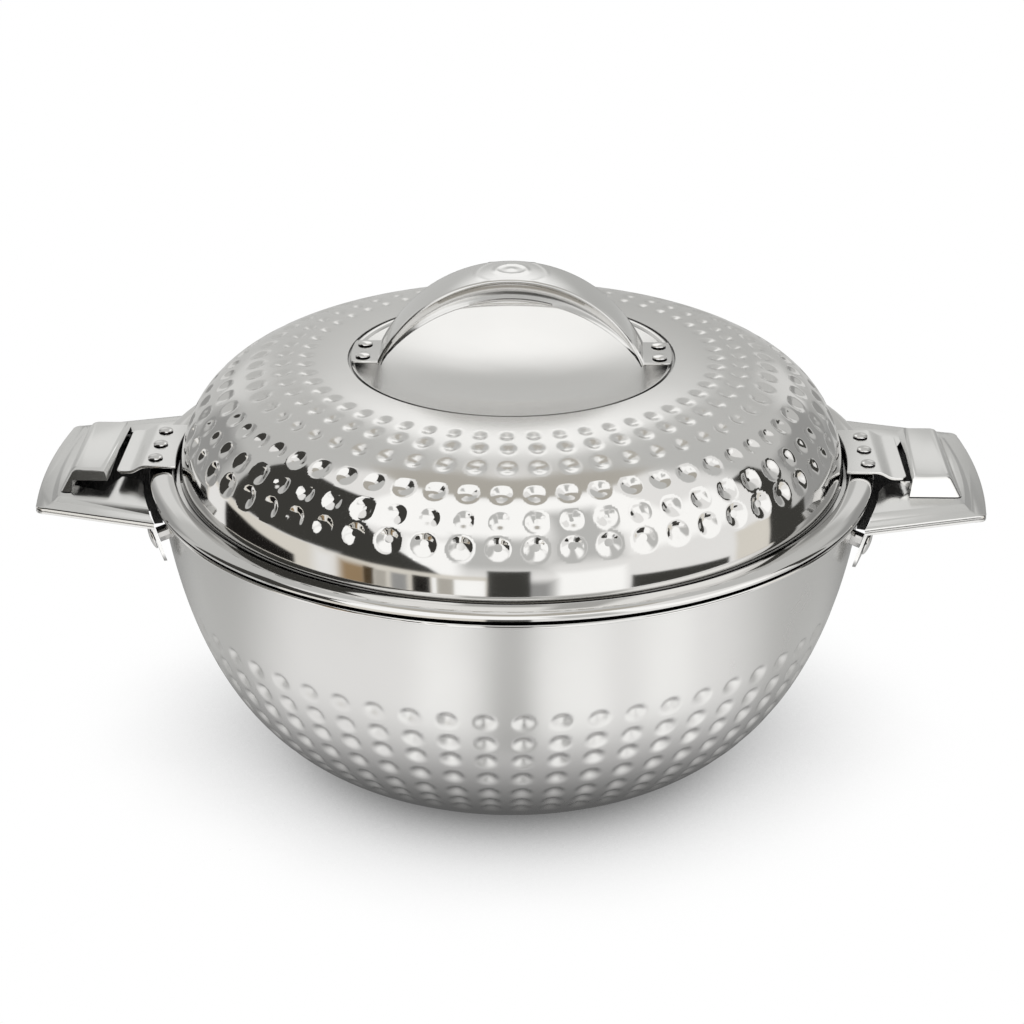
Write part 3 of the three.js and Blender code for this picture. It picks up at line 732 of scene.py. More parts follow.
def stacked(loops):
    """A closed skin through loops of points, each given as (outline, height)."""
    bm = bmesh.new()
    rings = [[bm.verts.new((x * MM, y * MM, height * MM)) for x, y in outline] for outline, height in loops]
    for ring, following in zip(rings, rings[1:]):
        for i in range(len(ring)):
            after = (i + 1) % len(ring)
            bm.faces.new((ring[i], ring[after], following[after], following[i]))
    bm.faces.new(rings[0])
    bm.faces.new(rings[-1])
    close_up(bm)
    return bm


# %% [markdown]
# Holes and windows are cut with a Boolean modifier. It is applied straight away, so no cutter stays
# in the scene. The round cutter has many sides, which lets the cut follow the rim closely.

# %% Cuts
CUT_REACH = 10
ARC_STEPS = 360


def round_post(radius, middle):
    """A cylinder about the upright axis, for cutting to both sides of a height."""
    bm = bmesh.new()
    bmesh.ops.create_cone(
        bm, cap_ends=True, segments=ARC_STEPS, radius1=radius * MM, radius2=radius * MM,
        depth=CUT_REACH * 2 * MM, matrix=Matrix.Translation((0, 0, middle * MM)),
    )
    return bm


def cut_away(bm, cutters):
    """The bmesh with the given bmeshes cut out of it. All of them have to be closed."""
    blank = placed(bm, "blank")
    tools = []
    for cutter in cutters:
        tools.append(placed(cutter, "cutter"))
        boolean = blank.modifiers.new("cut", "BOOLEAN")
        boolean.operation = "DIFFERENCE"
        boolean.solver = "EXACT"
        boolean.object = tools[-1]
    bpy.context.view_layer.update()
    result = bmesh.new()
    result.from_mesh(blank.evaluated_get(bpy.context.evaluated_depsgraph_get()).data)
    for helper in [blank, *tools]:
        mesh = helper.data
        bpy.data.objects.remove(helper)
        bpy.data.meshes.remove(mesh)
    bmesh.ops.remove_doubles(result, verts=result.verts, dist=MM / 1000)
    bmesh.ops.dissolve_limit(result, angle_limit=math.radians(0.5), verts=result.verts, edges=result.edges)
    return result


def join_in(bm, other):
    """Adds all of another bmesh to this one."""
    mesh = bpy.data.meshes.new("other")
    other.to_mesh(mesh)
    other.free()
    bm.from_mesh(mesh)
    bpy.data.meshes.remove(mesh)


# %% [markdown]
# Small bevels catch the light along every edge, as on polished sheet. The pieces on the left are
# those on the right after half a turn. A mirror would be wrong, because the lid locks by turning
# one way on both sides.

# %% Soft edges and pairs
def soften(piece, width, angle=30):
    """Small bevels on the edges, as a polishing wheel leaves them."""
    bevel = piece.modifiers.new("polished edges", "BEVEL")
    bevel.width = width * MM
    bevel.segments = 3
    bevel.limit_method = "ANGLE"
    bevel.angle_limit = math.radians(angle)


def both_sides(make, name, body, material, node, sharp=35):
    """A piece on the right, and the same piece half a turn round on the left."""
    pieces = []
    for side, turn in (("right", 0), ("left", math.pi)):
        bm = make()
        if turn:
            bmesh.ops.rotate(bm, verts=bm.verts, cent=(0, 0, 0), matrix=Matrix.Rotation(turn, 3, "Z"))
        pieces.append(finish_piece(bm, f"{name}_{side}", body, material, [f"{node}_{side}"], sharp))
    return pieces


# %% [markdown]
# ## Lid tabs
# Each tab is a stepped strip: it lies on the brim under three rivets, steps down just outside the
# rim, and ends in a straight edge beside its catch. Its inner edge is cut round at the groove.

# %% Lid tabs
TAB_THICKNESS = 1.2
TAB_STEP_START = rim_radius + 1.3
TAB_STEP_END = TAB_STEP_START + 4
TAB_BEND = 1.6
TAB_CORNER = 2.2
TAB_SPARE = 6
tab_inner = groove_radius - 0.7


def tab_bmesh():
    """The stepped strip, drawn too long towards the dome and cut round there."""
    start = tab_inner - TAB_SPARE
    upper = rounded([
        (start, tab_top), (TAB_STEP_START, tab_top),
        (TAB_STEP_END, tab_low + TAB_THICKNESS), (tab_reach, tab_low + TAB_THICKNESS),
    ], TAB_BEND, 5)
    lower = rounded([
        (tab_reach, tab_low), (TAB_STEP_END - 0.3, tab_low),
        (TAB_STEP_START - 0.3, tab_top - TAB_THICKNESS), (start, tab_top - TAB_THICKNESS),
    ], TAB_BEND, 5)
    bm = prism([(x, -tab_half, z) for x, z in upper + lower], (0, tab_half * 2, 0))
    upright = [
        e for e in bm.edges
        if all(v.co.x > (tab_reach - 0.1) * MM for v in e.verts) and abs(e.verts[0].co.z - e.verts[1].co.z) > 0.5 * MM
    ]
    bmesh.ops.bevel(bm, geom=upright, offset=TAB_CORNER * MM, affect="EDGES", segments=5, profile=0.5, material=-1)
    return cut_away(bm, [round_post(tab_inner, tab_low)])


for tab in both_sides(tab_bmesh, "stepped_tab", "lid", brightened_handle_steel, "lid_tab"):
    soften(tab, 0.35)

# %% [markdown]
# ## Side handles
# A handle is a wide plate with its edge turned down and a panel raised in the middle. From above
# it has straight flanks, small round corners and a bowed outer edge. Every level of the plate is
# this same outline, shrunk by a margin of its own.

# %% Outline of a side handle
HANDLE_TOP = flange_top - 3.9
HANDLE_EDGE = 2.6
PANEL_RISE = 1.5
PANEL_MARGIN = 5.4
PANEL_SLOPE = 1.4
RIM_GAP_RADIUS = rim_radius + 2.3
HANDLE_BOW = 2.4
HANDLE_OUTER_HALF = 39.5
HANDLE_CORNER = 4
HANDLE_THICKNESS = 1.15
LEG_HALF = 7
LEG_DROP = 17.9
LEG_LEAN = 5
FOOT_ROUND = 5
HANDLE_START = 112
HANDLE_CORNER_START = 127.3
leg_angle = math.asin((handle_half - LEG_HALF - 1) / RIM_GAP_RADIUS)
leg_radius = RIM_GAP_RADIUS + HANDLE_THICKNESS


def handle_outline(margin):
    """The handle seen from above, shrunk by a margin, as if it went on under the lid's rim."""
    inner = HANDLE_START + margin
    side = handle_reach - HANDLE_BOW - margin
    outer_half = HANDLE_OUTER_HALF - margin
    run = handle_reach - HANDLE_BOW - HANDLE_CORNER - HANDLE_CORNER_START
    slope = (handle_half - HANDLE_OUTER_HALF) / run
    corner = max(HANDLE_CORNER - margin * 0.6, 2)
    inner_half = outer_half + (side - corner - inner) * slope
    front = [(inner, -inner_half), (side - corner, -outer_half)]
    front += quadratic(front[-1], (side, -outer_half), (side, -outer_half + corner), 8)
    bow = quadratic(front[-1], (side + HANDLE_BOW * 2, 0), (side, outer_half - corner), 22)
    rear = quadratic(bow[-1], (side, outer_half), (side - corner, outer_half), 8)
    return front + bow + rear + [(inner, inner_half)]


# %% [markdown]
# The inner side follows the rim, and a window under the catch lets the lid's tab swing in. The
# notch towards the rim and the window are one opening, so one cutter makes both.

# %% Window of a side handle
NOTCH_HALF = 14
WINDOW_START = tab_reach - 1
CATCH_OUTER = handle_reach - 13.7
WINDOW_END = CATCH_OUTER - 0.3
CATCH_HALF = tab_half + 3
NOTCH_FLANK = [(118, 30), (133, 30), (135.6, 22), (138.2, 16.5), (141, NOTCH_HALF), (WINDOW_START, NOTCH_HALF)]


def window_outline():
    """The notch towards the rim and the window under the catch, in one outline."""
    front = [(x, -y) for x, y in NOTCH_FLANK]
    front += [(WINDOW_START + 5, -CATCH_HALF + 1.5), (WINDOW_END, -CATCH_HALF + 1.5)]
    return front + [(WINDOW_END, CATCH_HALF - 1), (WINDOW_START + 5, CATCH_HALF + 4)] + NOTCH_FLANK[::-1]


# %% [markdown]
# Two legs go down from the handle's inner corners to the shell, each with one broad rivet. A leg is
# a flat block with its lower corners bevelled round. It leans inwards, as the shell does.

# %% Legs of a side handle
def add_leg(bm, angle):
    """One leg, leaning in with the shell, with a rounded foot."""
    low, high = HANDLE_TOP - LEG_DROP, HANDLE_TOP - 0.4
    leg = bmesh.new()
    bmesh.ops.create_cube(leg, size=1)
    bmesh.ops.scale(leg, verts=leg.verts, vec=Vector((HANDLE_THICKNESS, LEG_HALF * 2, high - low)) * MM)
    feet = [e for e in leg.edges if all(v.co.z < 0 for v in e.verts) and abs(e.verts[0].co.x - e.verts[1].co.x) > 0]
    bmesh.ops.bevel(leg, geom=feet, offset=FOOT_ROUND * MM, affect="EDGES", segments=8, profile=0.5, material=-1)
    middle = Vector((leg_radius - HANDLE_THICKNESS / 2, 0, (low + high) / 2)) * MM
    bmesh.ops.translate(leg, verts=leg.verts, vec=middle)
    for v in leg.verts:
        v.co.x -= LEG_LEAN * MM * (high * MM - v.co.z) / ((high - low) * MM)
    bmesh.ops.rotate(leg, verts=leg.verts, cent=(0, 0, 0), matrix=Matrix.Rotation(angle, 3, "Z"))
    join_in(bm, leg)


# %% [markdown]
# The levels of the handle lead from its inside edge round a thin roll, up past a fine groove and
# over the top to the panel. The rim's circle and the window are cut out before the legs join.

# %% Side handles
def handle_bmesh():
    """Each loop is a margin inside the outline and a height: inside edge, roll, groove, top, panel."""
    low = HANDLE_TOP - HANDLE_EDGE
    panel_top = HANDLE_TOP + PANEL_RISE
    loops = [
        (HANDLE_THICKNESS + 0.2, HANDLE_TOP - HANDLE_THICKNESS), (HANDLE_THICKNESS, low),
        (0.4, low), (0.1, low + 0.1), (0, low + 0.4), (0, HANDLE_TOP - 1.7),
        (0.4, HANDLE_TOP - 1.5), (0.4, HANDLE_TOP - 1.25), (0, HANDLE_TOP - 1.05),
        (0, HANDLE_TOP - 0.5), (0.15, HANDLE_TOP - 0.15), (0.5, HANDLE_TOP),
        (PANEL_MARGIN - 0.4, HANDLE_TOP), (PANEL_MARGIN, HANDLE_TOP + 0.12),
        (PANEL_MARGIN + PANEL_SLOPE, panel_top - 0.12), (PANEL_MARGIN + PANEL_SLOPE + 0.4, panel_top),
    ]
    bm = stacked([(handle_outline(margin), height) for margin, height in loops])
    window = plate(window_outline(), HANDLE_TOP - CUT_REACH, HANDLE_TOP + CUT_REACH)
    bm = cut_away(bm, [round_post(RIM_GAP_RADIUS, HANDLE_TOP), window])
    add_leg(bm, leg_angle)
    add_leg(bm, -leg_angle)
    return bm


for handle in both_sides(handle_bmesh, "pressed_handle", "casserole", brightened_handle_steel, "handle", 50):
    soften(handle, 0.3, 60)

# %% [markdown]
# ## Liners of the side handles
# Every slot and gap in the handles lies in shade and shows black, so a near-black liner fills each
# handle from below: its black is painted shade. It reaches in under the rim between the two legs.

# %% Liners
CELL_DEPTH = 0.3


def soft_material(name, colour, dark, scale, roughness):
    """Foam, silicone, or a near-black that paints shade: a matt colour with fine cells."""
    material, tree = new_material(name)
    cells = add_node(tree, "ShaderNodeTexVoronoi", {"Scale": scale, "Vector": object_place(tree)})["Distance"]
    feed(tree, tree.nodes["Principled BSDF"], {
        "Roughness": roughness,
        "Base Color": mixed_colour(tree, cells, (*dark, 1), (*colour, 1)),
        "Normal": bumped(tree, cells, CELL_DEPTH * MM),
    })
    return material


LINER_TOP = HANDLE_TOP - 1.5
LINER_LOW = HANDLE_TOP - 3.3
APRON_TURN = math.radians(19.5)
BETWEEN_LEGS = math.radians(14.5)
APRON_STEPS = 40
# Painted shade: the liner's near-black colour stands in for the shade in the handles' gaps.
shade_black_look = soft_material("black_plastic", (0.012, 0.012, 0.012), (0.008, 0.008, 0.008), 1200, 0.6)


def apron_outline():
    """A sector of a ring between the bowl and the liner, narrower where it passes the legs."""
    turns = [APRON_TURN * (2 * i / APRON_STEPS - 1) for i in range(APRON_STEPS + 1)]
    near, far, by_the_legs = shell_radius + 1, leg_radius + 2.8, leg_radius - 2.6
    places = [(near, turn) for turn in turns]
    places += [(far if abs(turn) < BETWEEN_LEGS else by_the_legs, turn) for turn in reversed(turns)]
    return [(reach * math.cos(turn), reach * math.sin(turn)) for reach, turn in places]


def liner_bmesh():
    """The plate that fills the handle from below, with the apron that reaches in under the rim."""
    edge = handle_outline(HANDLE_THICKNESS + 0.5)
    bm = cut_away(stacked([(edge, LINER_LOW), (edge, LINER_TOP)]), [round_post(leg_radius + 2.3, LINER_LOW)])
    join_in(bm, plate(apron_outline(), LINER_LOW + 0.1, LINER_TOP - 0.1))
    return bm


both_sides(liner_bmesh, "black_liner", "casserole", shade_black_look, "handle_liner")

# %% [markdown]
# ## Catches
# A catch is a bridge pressed from thicker sheet. One end slopes down to the panel. The other ends
# in a rounded band that hangs over the window. Its inner side leans away from the tab, more and
# more towards the open end, and below it is open for the tab.

# %% Skin of a catch
CATCH_INNER = tab_reach + 0.3
CATCH_FOOT = HANDLE_TOP + PANEL_RISE + 0.3
CATCH_HEIGHT = catch_top - CATCH_FOOT
OUTER_SPREAD = 3.8
CLOSED_SPREAD = 4
OPEN_SPREAD = 6
CLOSED_LEAN = 1.6
OPEN_LEAN = 3.8
CATCH_CORNER = 2.4
CATCH_END_DROP = 3.5
LIP_DROP = 1.9
LIP_TAPER = 22
FIN_REACH = 2.8
FIN_DROP = 6.5
SHOULDER = [(1.3, 0), (0.65, 0.15), (0.2, 0.6), (0, 1.3)]


def catch_outline(height, margin):
    """The catch seen from above at a height, shrunk by a margin."""
    share = (catch_top - height) / CATCH_HEIGHT
    closed = -CATCH_HALF - CLOSED_SPREAD * share + margin
    open_end = CATCH_HALF + OPEN_SPREAD * share - margin
    outer = CATCH_OUTER + OUTER_SPREAD * share - margin
    inner_closed = CATCH_INNER + CLOSED_LEAN * (1 - share) + margin
    inner_open = CATCH_INNER + OPEN_LEAN * (1 - share) + margin
    corner = max(CATCH_CORNER - margin * 0.7, 0.6)
    outline = [(inner_closed, closed), (outer - corner, closed)]
    outline += quadratic(outline[-1], (outer, closed), (outer, closed + corner), 6)
    outline += [(outer, open_end - corner)]
    outline += quadratic(outline[-1], (outer, open_end), (outer - corner, open_end), 6)
    return outline + [(inner_open, open_end)]


def catch_skin(margin, drop, foot):
    """A closed skin with a rounded shoulder, a margin inside the catch."""
    top = catch_top - drop
    levels = [(catch_outline(top - low, margin + extra), top - low) for extra, low in SHOULDER]
    return stacked(levels + [(catch_outline(foot, margin), foot)])


# %% [markdown]
# The bridge is hollow, so a smaller skin is cut out of the first one, together with the gap at its
# open end and the slot for the tab. A small fin at the slot's closed end stops the tab.

# %% Catches
def side_prism(start, end, outline):
    """A prism along X from an outline of (y, z) points in millimetres."""
    return prism([(start, y, z) for y, z in outline], (end - start, 0, 0))


def fin_bmesh():
    """The small upright fin at the slot's closed end, which stops the tab."""
    fin_top, fin_end = catch_top - LIP_DROP - 1.6, -tab_half - 0.5
    corners = [
        (CATCH_INNER - FIN_REACH, fin_top), (CATCH_INNER + 0.8, fin_top), (CATCH_INNER + 0.8, catch_top - FIN_DROP),
    ]
    return prism([(x, fin_end, z) for x, z in corners], (0, -sheet, 0))


def catch_bmesh():
    """The skin without its core, the gap at its open end and the slot for the tab."""
    below, past = CATCH_FOOT - 3, CATCH_HALF + 8
    band_low, lip = catch_top - CATCH_END_DROP, catch_top - LIP_DROP
    core = catch_skin(sheet, sheet, CATCH_FOOT - 1)
    gap = side_prism(CATCH_INNER - 4, CATCH_OUTER - 0.4, [
        (CATCH_HALF - 4, below), (CATCH_HALF - 4, band_low), (past, band_low), (past, below),
    ])
    tab_slot = side_prism(CATCH_INNER - 4, CATCH_INNER + 5, [
        (-CATCH_HALF + 1, below), (-CATCH_HALF + 1, lip), (CATCH_HALF - LIP_TAPER, lip),
        (CATCH_HALF, band_low), (past, band_low), (past, below),
    ])
    bm = cut_away(catch_skin(0, 0, CATCH_FOOT), [core, gap, tab_slot])
    join_in(bm, fin_bmesh())
    return bm


for catch in both_sides(catch_bmesh, "bridge_catch", "casserole", brightened_handle_steel, "catch", 50):
    soften(catch, 0.25, 60)

# %% [markdown]
# ## The top handle
# The strap is a channel of sheet bent into an arch. Its walls are deepest at the top and taper
# away towards the feet, so the front shows a slim crescent under the polished edge. Two circles
# give that shape: the arch's own, and a flatter one below it that the walls' edges follow.

# %% Arch of the top handle
EAR_LENGTH = 10
CRESCENT_HEIGHT = 8.6
CRESCENT_INSET = 1.1
CROWN = 0.25
STRAP_SINK = 0.65
STRAP_STEPS = 180
RINGS = [(13.2, 0.55, 0.16), (5.6, 0.75, 0.42), (0, 1.3, 0.34)]
WALL = [
    (1.0, 0, 1), (0.55, 0, 0.93), (0.95, 0, 0.8), (1.2, 0, 0.6), (1.1, 0, 0.4),
    (0.6, 0, 0.2), (0.2, 0.9, 0.06), (0, 0.9, 0), (0.15, 0.35, 0), (0.9, 0.02, 0),
]
arch_half_span = ear_reach - EAR_LENGTH
arch_height = strap_top - strap_foot
arch_radius = (arch_half_span ** 2 + arch_height ** 2) / (2 * arch_height)
arch_centre = strap_top - arch_radius
arch_spread = math.asin(arch_half_span / arch_radius)
lower_rise = arch_height - CRESCENT_HEIGHT
lower_span = arch_half_span - CRESCENT_INSET
lower_radius = (lower_span ** 2 + lower_rise ** 2) / (2 * lower_rise)
lower_centre = strap_foot + lower_rise - lower_radius


def crescent_depth(angle):
    """How far the channel's walls reach below the arch at an angle from its crown."""
    drop = arch_centre - lower_centre
    reach = -drop * math.cos(angle) + math.sqrt(lower_radius ** 2 - (drop * math.sin(angle)) ** 2)
    return max(arch_radius - reach, 1.2)


def ring_height(distance):
    """Height of the embossed rings at a distance from the crown's middle."""
    return sum(high * math.exp(-((distance - radius) / width) ** 2) for radius, width, high in RINGS)


# %% [markdown]
# A grid is bent into shape here: along one direction it follows the arch, and along the other the
# channel's section. Rings are embossed on the crown. A Solidify modifier gives the sheet the same
# thickness everywhere.

# %% Strap of the top handle
def channel_section():
    """Across the strap: (sideways, depth that is fixed, depth that follows the crescent)."""
    wall = [(strap_half - inset, fixed, follow) for inset, fixed, follow in WALL]
    top = [((strap_half - 2) * i / 9, -CROWN * (1 - (i / 9) ** 2), 0) for i in range(9, 0, -1)]
    half = wall + top
    return half + [(0, -CROWN, 0)] + [(-y, fixed, follow) for y, fixed, follow in reversed(half)]


def on_arch(reach, angle, sideways):
    """A place at a distance from the arch's centre, in metres."""
    return Vector((reach * math.sin(angle), sideways, arch_centre + reach * math.cos(angle))) * MM


def thickened(piece, thickness, offset):
    """Gives an open sheet its thickness."""
    solid = piece.modifiers.new("sheet", "SOLIDIFY")
    solid.thickness = thickness * MM
    solid.offset = offset


section = channel_section()
bm = bmesh.new()
bmesh.ops.create_grid(bm, x_segments=STRAP_STEPS, y_segments=len(section) - 1, size=0.5)
for v in bm.verts:
    angle = arch_spread * 2 * v.co.x
    sideways, fixed, follow = section[round((v.co.y + 0.5) * (len(section) - 1))]
    on_top = follow == 0 and fixed <= 0.02
    crest = ring_height(math.hypot(sideways, angle * arch_radius)) if on_top else 0
    v.co = on_arch(arch_radius - STRAP_SINK - fixed - follow * crescent_depth(angle) + crest, angle, sideways)
close_up(bm)
faces_up(bm)
strap = finish_piece(bm, "arched_strap", "lid", darkened_strap_steel, ["top_handle_strap"], 60)
thickened(strap, 0.7, -1)

# %% [markdown]
# The ears are plain plates, riveted to the ring round the dish. The liner is a narrower arch that
# closes the strap from below.

# %% Ears and liner of the top handle
EAR_THICKNESS = 1.1
LINER_INSET = 1.5
LINER_SPAN = 0.97
LINER_STEPS = 80


def ear_bmesh(hand):
    """One ear with a bowed end. The hand is 1 on the right and -1 on the left."""
    near, far = hand * (arch_half_span - 1.3), hand * ear_reach
    half = strap_half - 0.25
    outline = [(near, -half), (far - hand * 1.2, -half + 0.3)]
    outline += quadratic(outline[-1], (far + hand * 0.6, 0), (far - hand * 1.2, half - 0.3), 10) + [(near, half)]
    return plate(outline, strap_foot, strap_foot + EAR_THICKNESS)


for hand, side in ((-1, "left"), (1, "right")):
    soften(finish_piece(ear_bmesh(hand), f"strap_ear_{side}", "lid", darkened_strap_steel), 0.4)

bm = bmesh.new()
bmesh.ops.create_grid(bm, x_segments=LINER_STEPS, y_segments=6, size=0.5)
for v in bm.verts:
    angle = arch_spread * LINER_SPAN * 2 * v.co.x
    drop = max(crescent_depth(angle) - 1.0, 1.3)
    v.co = on_arch(arch_radius - drop, angle, v.co.y * 2 * (strap_half - LINER_INSET))
close_up(bm)
liner = finish_piece(bm, "strap_liner", "lid", mirror_steel, ["top_handle_liner"])
thickened(liner, 0.8, 0)

# %% [markdown]
# ## Rivets
# Ten small dome-headed rivets hold the tabs and the ears, and four broad ones hold the legs. Each
# is one spun section. The small ones are laid where their CAD nodes are, the broad ones across the
# leaning legs.

# %% Rivets
SMALL_RIVET = dict(head=2.75, height=1.1, shank=1.3)
BROAD_RIVET = dict(head=4.6, height=1.5, shank=1.7)
RIVET_TAIL = 1
RIVET_STEPS = 32


def rivet_bmesh(place, head, height, shank):
    """A rivet with a domed head. Its axis is the Z of the place, which is a matrix."""
    angles = [math.radians(d) for d in range(0, 90, 15)]
    dome = [(head * math.cos(a), height * (0.15 + 0.85 * math.sin(a))) for a in angles]
    section = [(0, -RIVET_TAIL), (shank, -RIVET_TAIL), (shank, 0), (head - 0.15, 0)] + dome + [(0, height)]
    bm = bmesh.new()
    spin_section(bm, section, RIVET_STEPS)
    close_up(bm)
    bmesh.ops.transform(bm, verts=bm.verts, matrix=place)
    return bm


def under_top_of(node):
    """Middle of a node's top, less the height of a small rivet head."""
    low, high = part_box(node)
    return Vector(((low.x + high.x) / 2, (low.y + high.y) / 2, high.z - SMALL_RIVET["height"] * MM))


for node in sorted(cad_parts):
    if node.startswith(("handle_rivet", "tab_rivet")):
        bm = rivet_bmesh(Matrix.Translation(under_top_of(node)), **SMALL_RIVET)
        finish_piece(bm, f"small_{node}", "lid", mirror_steel, [node], 50)

leg_tilt = math.atan2(LEG_LEAN, LEG_DROP)
leg_middle = Vector((leg_radius - LEG_LEAN / 2 + 0.3, 0, HANDLE_TOP - LEG_DROP / 2)) * MM
leg_turns = {
    "right_front": -leg_angle, "right_rear": leg_angle,
    "left_front": math.pi + leg_angle, "left_rear": math.pi - leg_angle,
}
for side, turn in leg_turns.items():
    stand = Matrix.Rotation(turn, 4, "Z") @ Matrix.Translation(leg_middle)
    bm = rivet_bmesh(stand @ Matrix.Rotation(math.pi / 2 + leg_tilt, 4, "Y"), **BROAD_RIVET)
    finish_piece(bm, f"broad_rivet_{side}", "casserole", mirror_steel, [f"leg_rivet_{side}"], 50)

# %% [markdown]
# ## What stays as CAD
# The foam, the seal, the base plate, the lid's pan and the spacers already have their right shape.
# They keep their CAD solids and only get a material of their own.

# %% Materials for the CAD solids
foam_look = soft_material("cream_foam", (0.86, 0.80, 0.60), (0.74, 0.67, 0.46), 600, 0.9)
seal_look = soft_material("seal_silicone", (0.80, 0.80, 0.78), (0.76, 0.76, 0.74), 900, 0.55)
CAD_LOOKS = {
    "bowl_insulation": foam_look, "lid_insulation": foam_look, "lid_seal_ring": seal_look,
    "base_plate": satin_steel, "lid_inner_shell": inner_steel,
}
CAD_LOOKS.update({node: mirror_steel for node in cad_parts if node.startswith("leg_spacer")})
for node, look in CAD_LOOKS.items():
    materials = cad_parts[node].data.materials
    materials.clear()
    materials.append(look)
print(len(CAD_LOOKS), "nodes keep their CAD solids")

# %% [markdown]
# ## Floor
# The photograph has a white ground with a soft shadow close under the bowl. The floor shows white
# to the camera and darkens where the casserole hides the sky, which an ambient occlusion node
# measures. Its normal leans to the front, because the light comes from there.

# %% Floor
FLOOR_REACH = 6
SHADOW_REACH = 0.13
SHADOW_LEAN = 1.3
SHADOW_TONES = [(0.03, 0.10), (0.20, 0.36), (0.34, 0.62), (0.50, 0.86), (0.64, 1.0)]


def show_apart(tree, output, shown, lit):
    """Feeds an output: one shader for the camera and the steel, another for all else."""
    path = add_node(tree, "ShaderNodeLightPath", {})
    seen = maths(tree, "MAXIMUM", path["Is Camera Ray"], path["Is Glossy Ray"])
    seen = maths(tree, "MAXIMUM", seen, path["Is Transmission Ray"])
    mix = add_node(tree, "ShaderNodeMixShader", {0: seen, 1: lit[0], 2: shown[0]})
    add_node(tree, output, {"Surface": mix[0]})


def flat_card(name, size, height, material):
    """A level square in metres that belongs to the stage."""
    bm = bmesh.new()
    bmesh.ops.create_grid(bm, x_segments=1, y_segments=1, size=size)
    bmesh.ops.translate(bm, verts=bm.verts, vec=(0, 0, height))
    card = placed(bm, name)
    card.data.materials.append(material)
    return card


floor_material, tree = new_material("white_floor")
tree.nodes.clear()
lean = Vector((0, -SHADOW_LEAN, 1)).normalized()
sky = add_node(tree, "ShaderNodeAmbientOcclusion", {"Distance": SHADOW_REACH, "Normal": lean}, samples=16)
ramp = tree.nodes.new("ShaderNodeValToRGB")
stops = ramp.color_ramp.elements
for place, tone in SHADOW_TONES[1:-1]:
    stops.new(place)
for stop, (place, tone) in zip(stops, SHADOW_TONES):
    stop.position = place
    stop.color = (tone, tone, tone, 1)
feed(tree, ramp, {"Fac": sky["AO"]})
shown = add_node(tree, "ShaderNodeEmission", {"Color": ramp.outputs["Color"]})
lit = add_node(tree, "ShaderNodeBsdfDiffuse", {"Color": (0.8, 0.8, 0.8, 1)})
show_apart(tree, "ShaderNodeOutputMaterial", shown, lit)
flat_card("floor", FLOOR_REACH, 0, floor_material)
print("floor with", len(stops), "tones")

# %% [markdown]
# The room is white to the camera and a little dimmer as a light. Two soft lamps stand in front,
# the stronger one on the left. Their own shapes don't show in the steel.

# %% World and lamps
ROOM_LIGHT = 0.7
LAMP_AIM = Vector((0, 0, 0.1))

world = bpy.data.worlds.new("white_room")
bpy.context.scene.world = world
world.use_nodes = True
tree = world.node_tree
tree.nodes.clear()
shown = add_node(tree, "ShaderNodeBackground", {"Color": (1, 1, 1, 1)})
lit = add_node(tree, "ShaderNodeBackground", {"Strength": ROOM_LIGHT})
show_apart(tree, "ShaderNodeOutputWorld", shown, lit)


def add_lamp(name, place, side, power):
    """A soft square lamp that points at the casserole."""
    data = bpy.data.lights.new(name, "AREA")
    data.size = side
    data.energy = power
    lamp = bpy.data.objects.new(name, data)
    bpy.context.collection.objects.link(lamp)
    lamp.location = place
    lamp.rotation_euler = (LAMP_AIM - Vector(place)).to_track_quat("-Z", "Y").to_euler()
    lamp.visible_glossy = False


add_lamp("key_lamp", (-0.9, -0.9, 1.3), 0.7, 7)
add_lamp("fill_lamp", (1.1, -0.6, 1.1), 0.8, 4)

# %% [markdown]
# ## A tent of light
# Polished steel shows whatever stands round it. Photographers put a white tent round a piece like
# this, and what the tent leaves open shows as dark and brown shapes in the steel. Here the tent is
# a glowing half sphere, no lamp, that only glossy rays see, so each panel on it is a painted
# reflection. Its cloth is pale, and each panel on it is a patch with a place, a size and a soft or
# hard edge. Places are degrees round the casserole from the front towards +X, and degrees of rise
# above the floor, so a panel is easy to move to where its reflection should fall.

# %% A shared node group for one panel
PANEL_PLACE = ("Turn centre", "Half turn", "Rise centre", "Half rise", "Slant", "Soft edge")


def patch_group():
    """A mask that is one inside a slanted rectangle and fades over its edge."""
    inputs = [(name, NUMBER, 0) for name in ("Turn", "Rise", *PANEL_PLACE)]
    group = new_group("tent_patch", inputs, [("Mask", NUMBER)])
    given = add_node(group, "NodeGroupInput", {})
    sideways = maths(group, "SUBTRACT", given["Turn"], given["Turn centre"])
    middle = maths(group, "MULTIPLY_ADD", sideways, given["Slant"], given["Rise centre"])
    upwards = maths(group, "SUBTRACT", given["Rise"], middle)
    inside_turn = maths(group, "SUBTRACT", given["Half turn"], maths(group, "ABSOLUTE", sideways))
    inside_rise = maths(group, "SUBTRACT", given["Half rise"], maths(group, "ABSOLUTE", upwards))
    inside = maths(group, "MINIMUM", inside_turn, inside_rise)
    mask = eased(group, maths(group, "DIVIDE", inside, given["Soft edge"]), -0.5, 0.5)
    add_node(group, "NodeGroupOutput", {"Mask": mask})
    return group


tent_patch = patch_group()
print("node group", tent_patch.name)

# %% [markdown]
# A cloth is one glowing material, seen only in the steel as painted reflections. Its base colour is
# painted over by one panel after another, each mixed in by its own mask. On the tent the second
# coordinate is degrees of rise, and on the mat it is the distance from the middle.

# %% Cloth with panels
TENT_RADIUS = 0.34
TENT_GLOW = 1.2


